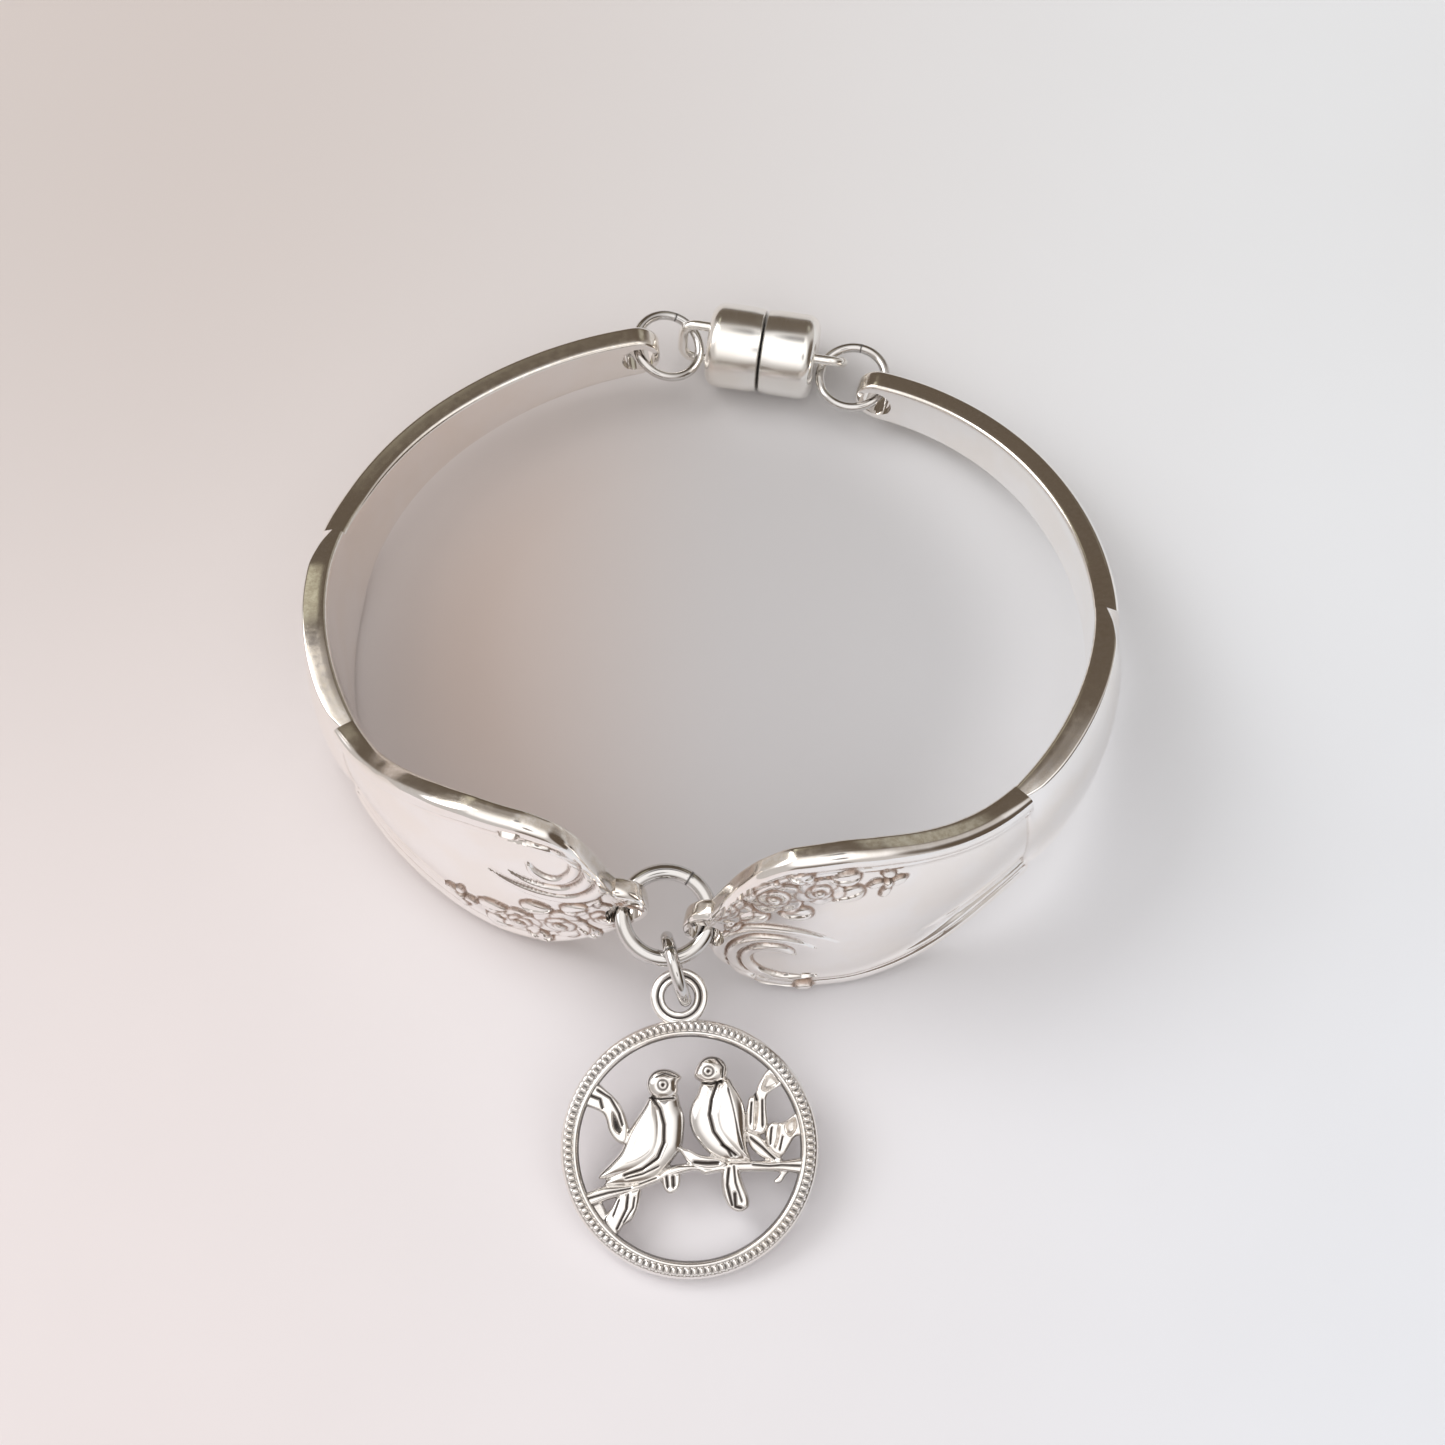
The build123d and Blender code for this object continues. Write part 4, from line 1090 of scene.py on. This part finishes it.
def curved(outline):
    """Points of a closed smooth curve through an outline's corners, in mm."""
    corners = np.array(outline) * charm_diameter / 2
    before, after, beyond = (np.roll(corners, k, axis=0) for k in (1, -1, -2))
    rows = []
    for t in (0.0, 0.25, 0.5, 0.75):
        rows.append(
            (before * (2 * t ** 2 - t - t ** 3) + corners * (3 * t ** 3 - 5 * t ** 2 + 2)
             + after * (4 * t ** 2 + t - 3 * t ** 3) + beyond * (t ** 3 - t ** 2)) / 2
        )
    return np.stack(rows, 1).reshape(-1, 2)


def distance_to(points, path):
    """Distance in the plane from points to a path of lines."""
    best = np.full(len(points), 99.0)
    for a, b in zip(path, path[1:]):
        run = b - a
        t = np.clip(((points - a) @ run) / max(run @ run, 1e-9), 0, 1)
        best = np.minimum(best, np.linalg.norm(points - a - t[:, None] * run, axis=1))
    return best


def depth_inside(points, outline):
    """Distance from points to a closed outline, positive inside it."""
    loop = np.vstack([outline, outline[:1]])
    crossings = np.zeros(len(points), dtype=int)
    for a, b in zip(loop, loop[1:]):
        spans = (a[1] > points[:, 1]) != (b[1] > points[:, 1])
        rise = b[1] - a[1] if b[1] != a[1] else 1e-9
        crossings += spans & (points[:, 0] < a[0] + (points[:, 1] - a[1]) * (b[0] - a[0]) / rise)
    return distance_to(points, loop) * np.where(crossings % 2 == 1, 1, -1)


def charm_plane():
    """Placing matrix of the charm, as in the CAD."""
    ring_room = charm_ring_size[0] / 2 - charm_ring_size[1]
    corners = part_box("charm_ring")
    centre = (vector(corners[0]) + vector(corners[1])) / 2 / MILLIMETRE
    bail_mean = (bail_diameter + bail_hole) / 4
    bail_top = centre + Vector(bail_hang).normalized() * (bail_hang_share * ring_room)
    bail_reach = bail_rise + bail_mean
    lying = math.asin((bail_top.z - charm_thickness / 2) / (bail_reach + charm_diameter / 2))
    spin = math.radians(charm_turn)
    up = Vector((-math.sin(spin) * math.cos(lying), math.cos(spin) * math.cos(lying), math.sin(lying)))
    right = Vector((math.cos(spin), math.sin(spin), 0))
    return frame_matrix(bail_top - up * bail_reach, right, right.cross(up))


# Ribs of the rim: middle as a distance from the rim's inner edge, half width and depth
# in mm, sharpness of the gaps and their darkness
RIB_MIDDLE = 0.75
RIB_HALF_WIDTH = 0.32
RIB_DEPTH = 0.22
RIB_SHARPNESS = 1.8
RIB_DARKNESS = 0.58


def charm_rim():
    """Rim: a plain band within, ribs round its middle and a rounded flank without."""
    radius = charm_diameter / 2
    inner = radius - charm_rim_width
    half = charm_thickness / 2
    outline = [
        (inner, -half + 0.15), (inner, half - 0.36), (inner + 0.06, half - 0.30),
        (inner + 0.14, half - 0.14), (inner + 0.22, half - 0.07), (inner + 0.32, half - 0.05),
        (inner + 0.42, half - 0.10), (inner + 0.46, half - 0.14), (inner + 0.52, half - 0.06),
        (inner + 0.60, half), (inner + 0.70, half), (inner + 0.80, half), (inner + 0.90, half - 0.02),
        (inner + 0.98, half - 0.07), (inner + 1.03, half - 0.16), (inner + 1.08, half - 0.20),
        (radius - 0.17, half - 0.26), (radius - 0.07, half - 0.38), (radius, half - 0.60),
        (radius, -half + 0.4), (radius - 0.08, -half + 0.14), (radius - 0.24, -half),
        (inner + 0.2, -half), (inner + 0.06, -half + 0.05),
    ]
    shape = spun(outline, reed_count * 8, Matrix.Identity(4))
    patina_and_shade_layer = shape.verts.layers.float.new("patina_and_shade")
    middle = inner + RIB_MIDDLE
    for vert in shape.verts:
        angle = math.atan2(vert.co.y, vert.co.x)
        reach = math.hypot(vert.co.x, vert.co.y)
        on_top = vert.co.z > half - 0.4
        across = max(0.0, 1 - (abs(reach - middle) / RIB_HALF_WIDTH) ** 3)
        wave = (0.5 - 0.5 * math.cos(angle * reed_count)) ** RIB_SHARPNESS
        if on_top and across > 0:
            vert.co.z -= RIB_DEPTH * wave * across
            vert[patina_and_shade_layer] = RIB_DARKNESS * wave * across
        elif on_top and abs(reach - inner - 0.45) < 0.05:
            vert[patina_and_shade_layer] = 0.45
        # Painted shade: the rim's inner wall is darkened where it and its bevel fall in shadow
        elif reach < inner + 0.08:
            vert[patina_and_shade_layer] = 0.55
        elif on_top and abs(reach - inner - 1.05) < 0.04:
            vert[patina_and_shade_layer] = 0.4
    return shape


def charm_bail():
    """Hanging loop on the rim with a hollow ring line."""
    outer, inner, half = bail_diameter / 2, bail_hole / 2, bail_thickness / 2
    profile = [
        (inner, -half + 0.2), (inner, half - 0.2), (inner + 0.06, half - 0.06), (inner + 0.18, half),
        (inner + 0.34, half - 0.02), (inner + 0.44, half - 0.14), (inner + 0.52, half - 0.14),
        (inner + 0.62, half - 0.02), (outer - 0.22, half), (outer - 0.06, half - 0.08), (outer, half - 0.25),
        (outer, -half + 0.25), (outer - 0.1, -half + 0.06), (outer - 0.3, -half), (inner + 0.2, -half),
    ]
    shape = spun(profile, 96, Matrix.Translation((0, bail_rise, 0)))
    patina_and_shade_layer = shape.verts.layers.float.new("patina_and_shade")
    for vert in shape.verts:
        reach = math.hypot(vert.co.x, vert.co.y - bail_rise)
        in_groove = abs(reach - inner - 0.48) < 0.06 and vert.co.z > 0
        vert[patina_and_shade_layer] = 0.8 if in_groove else (0.5 if reach < inner + 0.03 else 0.0)
    return shape


def birds_blank(outlines):
    """Flat blank of the charm's art, from outlines grown together by a fine remesh."""
    shape = bmesh.new()
    for outline in outlines:
        corners = [shape.verts.new((x, y, -blank_half)) for x, y in outline]
        edges = [shape.edges.new(pair) for pair in zip(corners, corners[1:] + corners[:1])]
        faces = bmesh.ops.contextual_create(shape, geom=edges)["faces"]
        raised = bmesh.ops.extrude_face_region(shape, geom=faces, use_keep_orig=True)["geom"]
        top = [part for part in raised if isinstance(part, bmesh.types.BMVert)]
        bmesh.ops.translate(shape, verts=top, vec=(0, 0, 2 * blank_half))
    bmesh.ops.recalc_face_normals(shape, faces=shape.faces)
    return with_modifiers(shape, [
        ("REMESH", {"mode": "VOXEL", "voxel_size": voxel_size, "use_smooth_shade": True}),
        ("SMOOTH", {"factor": 0.5, "iterations": 4}),
    ])


def birds_relief(plan, outlines):
    """Height of the art's face over its plan, and how dark it is there."""
    height = np.full(len(plan), -1.0)
    for (_, low, high, reach), outline in zip(FORMS, outlines):
        depth = depth_inside(plan, outline)
        share = np.clip(depth / reach, 0, 1)
        form = low + (high - low) * np.sqrt(1 - (1 - share) ** 2)
        height = np.maximum(height, np.where(depth > -0.12, form, -1.0))
    dark = np.clip(0.38 - height * 0.7, 0, 0.6)
    # Hollows are lowered and darkened: patina in the leaves, painted shadow in the gaps beside the branch
    for hollow, darkness in HOLLOWS:
        inside = eased(depth_inside(plan, curved(hollow)), -0.06, 0.30)
        height = height + (-0.1 - height) * inside
        dark = dark + (darkness - dark) * inside
    for path, width, depth in GROOVES:
        cut = np.exp(-(distance_to(plan, np.array(path) * charm_diameter / 2) / width) ** 2)
        height -= depth * cut
        dark = np.maximum(dark, 0.95 * cut)
    for x, y in EYES:
        away = np.hypot(plan[:, 0] - x * charm_diameter / 2, plan[:, 1] - y * charm_diameter / 2)
        ring = np.exp(-((away - eye_ring) / 0.09) ** 2)
        middle = np.exp(-(away / pupil) ** 2)
        height += 0.04 - 0.10 * ring - 0.16 * middle
        dark = np.maximum(dark, np.maximum(middle, 0.7 * ring))
    return height, dark


def birds_mesh():
    """Two birds on a branch, modelled on their blank."""
    outlines = [curved(form[0]) for form in FORMS]
    mesh = birds_blank(outlines)
    places = np.zeros(len(mesh.vertices) * 3)
    mesh.vertices.foreach_get("co", places)
    places = places.reshape(-1, 3)
    height, dark = birds_relief(places[:, :2], outlines)
    share = np.clip((places[:, 2] + blank_near) / (2 * blank_near), 0, 1)
    places[:, 2] = np.minimum(share * (height + blank_half) - blank_half, birds_top)
    mesh.vertices.foreach_set("co", places.ravel())
    mesh.update()
    darken_hollows(mesh, 2.5, 9.0, dark * eased(share, 0.3, 0.7))
    return mesh


placing = charm_plane()
rim = charm_rim()
bmesh.ops.transform(rim, matrix=placing, verts=rim.verts)
bail = charm_bail()
bmesh.ops.transform(bail, matrix=placing, verts=bail.verts)
lowest = min(vert.co.z for vert in rim.verts)
settle = Matrix.Translation((0, 0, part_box("bird_charm")[0][2] / MILLIMETRE - lowest))
bmesh.ops.transform(rim, matrix=settle, verts=rim.verts)
bmesh.ops.transform(bail, matrix=settle, verts=bail.verts)
new_piece("charm_reeded_rim", rim, antique_silver, "bird_charm", sharp=60.0)
new_piece("charm_bail", bail, antique_silver, sharp=60.0)
birds = birds_mesh()
birds.transform(settle @ placing @ Matrix.Rotation(math.radians(art_turn), 4, "Z"))
finish_piece("charm_birds", birds, antique_silver, sharp=80.0)


# Floor, light and camera


# Floor colours at the corners of the picture, the painted shadow inside the loop from its left to its right,
# and the colour of the mottling
FLOOR_TOP = ((0.66, 0.60, 0.575, 1), (0.83, 0.86, 0.89, 1))
FLOOR_BOTTOM = ((0.88, 0.82, 0.83, 1), (0.88, 0.92, 0.985, 1))
PAINTED_LOOP_SHADOW = ((0.70, 0.60, 0.535, 1), (0.70, 0.70, 0.70, 1))
FLOOR_MOTTLE = (0.62, 0.60, 0.60, 1)

# Where those colours lie, in metres: span of the corners, centre of the loop, the radii of
# its painted shadow from unshaded to shaded, and the span of the painted shadow's colours inside it
FLOOR_SPAN = (-0.055, 0.065)
LOOP_CENTRE = (0.0, 0.0105, 0.0)
LOOP_SHADOW_FADE = (0.034, 0.018)
LOOP_SHADOW_SPAN = (-0.026, 0.004)

# What the silver mirrors, as soft round patches: azimuth from +Y to +X, elevation,
# radius and softness in degrees, then the colour
ROOM_STRENGTH = 1.09
ROOM_COLOUR = (0.50, 0.47, 0.45, 1)
ROOM_PATCHES = (
    (0, 16, 44, 8, (0.12, 0.095, 0.072, 1)),
    (100, 12, 26, 8, (0.10, 0.075, 0.055, 1)),
    (180, 72, 38, 16, (1.20, 1.17, 1.15, 1)),
    (180, 0, 20, 6, (0.20, 0.165, 0.14, 1)),
    (-80, 35, 15, 6, (2.0, 2.0, 2.05, 1)),
    (-25, 40, 6, 3, (0.55, 0.52, 0.40, 1)),
    (160, 56, 7, 3, (0.24, 0.22, 0.21, 1)),
    (10, 74, 7, 4, (0.20, 0.19, 0.19, 1)),
    (30, 30, 8, 4, (0.38, 0.36, 0.30, 1)),
)


def floor_material():
    finish = Finish("pale_floor")
    x, y = finish.plan_places()
    right = finish.between(x, *FLOOR_SPAN)
    up = finish.between(y, *FLOOR_SPAN)
    clouds = finish.noise(14, 4)
    tone = finish.blend(up, finish.blend(right, *FLOOR_BOTTOM), finish.blend(right, *FLOOR_TOP))
    mottled = finish.blend(finish.between(clouds, 0.3, 0.7) * 0.12, tone, FLOOR_MOTTLE)
    # Painted shadow: inside the loop the floor colour is multiplied by darker, browner shadow colours,
    # fading out away from the loop's centre
    ends = {0: finish.place, 1: LOOP_CENTRE}
    away = finish.node("ShaderNodeVectorMath", {"operation": "DISTANCE"}, ends, "Value")
    inside = finish.between(away, *LOOP_SHADOW_FADE)
    shade = finish.blend(finish.between(x, *LOOP_SHADOW_SPAN), *PAINTED_LOOP_SHADOW)
    shaded = finish.node(
        "ShaderNodeMix", {"data_type": "RGBA", "blend_type": "MULTIPLY"},
        {"Factor": inside, "A": mottled, "B": shade}, 2,
    )
    return finish.set(Base_Color=shaded, Roughness=0.55 + clouds * 0.1)


floor_shape = bmesh.new()
bmesh.ops.create_grid(floor_shape, x_segments=8, y_segments=8, size=1.5)
floor = as_object(floor_shape, "floor")
floor.data.materials.append(floor_material())


# The window, a soft square light that looks at the bracelet: place and size in metres
WINDOW_PLACE = Vector((-0.50, 0.28, 0.62))
WINDOW_SIZE = 0.42
WINDOW_WATTS = 1.8
WINDOW_COLOUR = (1.0, 0.985, 0.97)


def window_light():
    light = bpy.data.lights.new("window_left", "AREA")
    light.shape = "RECTANGLE"
    light.size = WINDOW_SIZE
    light.size_y = WINDOW_SIZE
    light.energy = WINDOW_WATTS
    light.color = WINDOW_COLOUR
    lamp = bpy.data.objects.new("window_left", light)
    lamp.location = WINDOW_PLACE
    lamp.rotation_euler = (-WINDOW_PLACE).to_track_quat("-Z", "Y").to_euler()
    bpy.context.scene.collection.objects.link(lamp)


window_light()


def studio_world():
    """Even light with a bright ceiling, a window on the left and a darker room beyond."""
    world = bpy.data.worlds.new("studio")
    world.use_nodes = True
    nodes = Nodes(world.node_tree)
    way = nodes.node("ShaderNodeTexCoord", output="Generated")
    colour = ROOM_COLOUR
    for azimuth, elevation, radius, soft, tone in ROOM_PATCHES:
        a, e = math.radians(azimuth), math.radians(elevation)
        towards = (math.sin(a) * math.cos(e), math.cos(a) * math.cos(e), math.sin(e))
        ways = {0: way, 1: towards}
        near = nodes.node("ShaderNodeVectorMath", {"operation": "DOT_PRODUCT"}, ways, "Value")
        outer = math.cos(math.radians(radius + soft))
        inner = math.cos(math.radians(max(radius - soft, 0)))
        colour = nodes.blend(nodes.between(near, outer, inner), colour, tone)
    background = world.node_tree.nodes["Background"]
    nodes.join(colour, background.inputs["Color"])
    background.inputs["Strength"].default_value = ROOM_STRENGTH
    return world


bpy.context.scene.world = studio_world()
bpy.context.scene.view_settings.view_transform = "Standard"

# The camera's axis meets the floor at a place measured from the front ring, in
# millimetres, and its height is an angle above the floor in degrees
view_offset = Vector((4.33, 19.74, 0))
view_height = 67.2
view_distance = 240.0
focal_pixels = 2928.0
image_pixels = 1445.0
aim = (plan_centre + view_offset) * MILLIMETRE
tilt = math.radians(view_height)
back = Vector((0, -math.cos(tilt), math.sin(tilt)))
camera_data = bpy.data.cameras.new("camera")
camera_data.sensor_width = 36.0
camera_data.lens = 36.0 * focal_pixels / image_pixels
camera_data.clip_start = 0.01
camera = bpy.data.objects.new("camera", camera_data)
camera.location = aim + back * view_distance * MILLIMETRE
camera.rotation_euler = (-back).to_track_quat("-Z", "Y").to_euler()
bpy.context.scene.collection.objects.link(camera)
bpy.context.scene.camera = camera
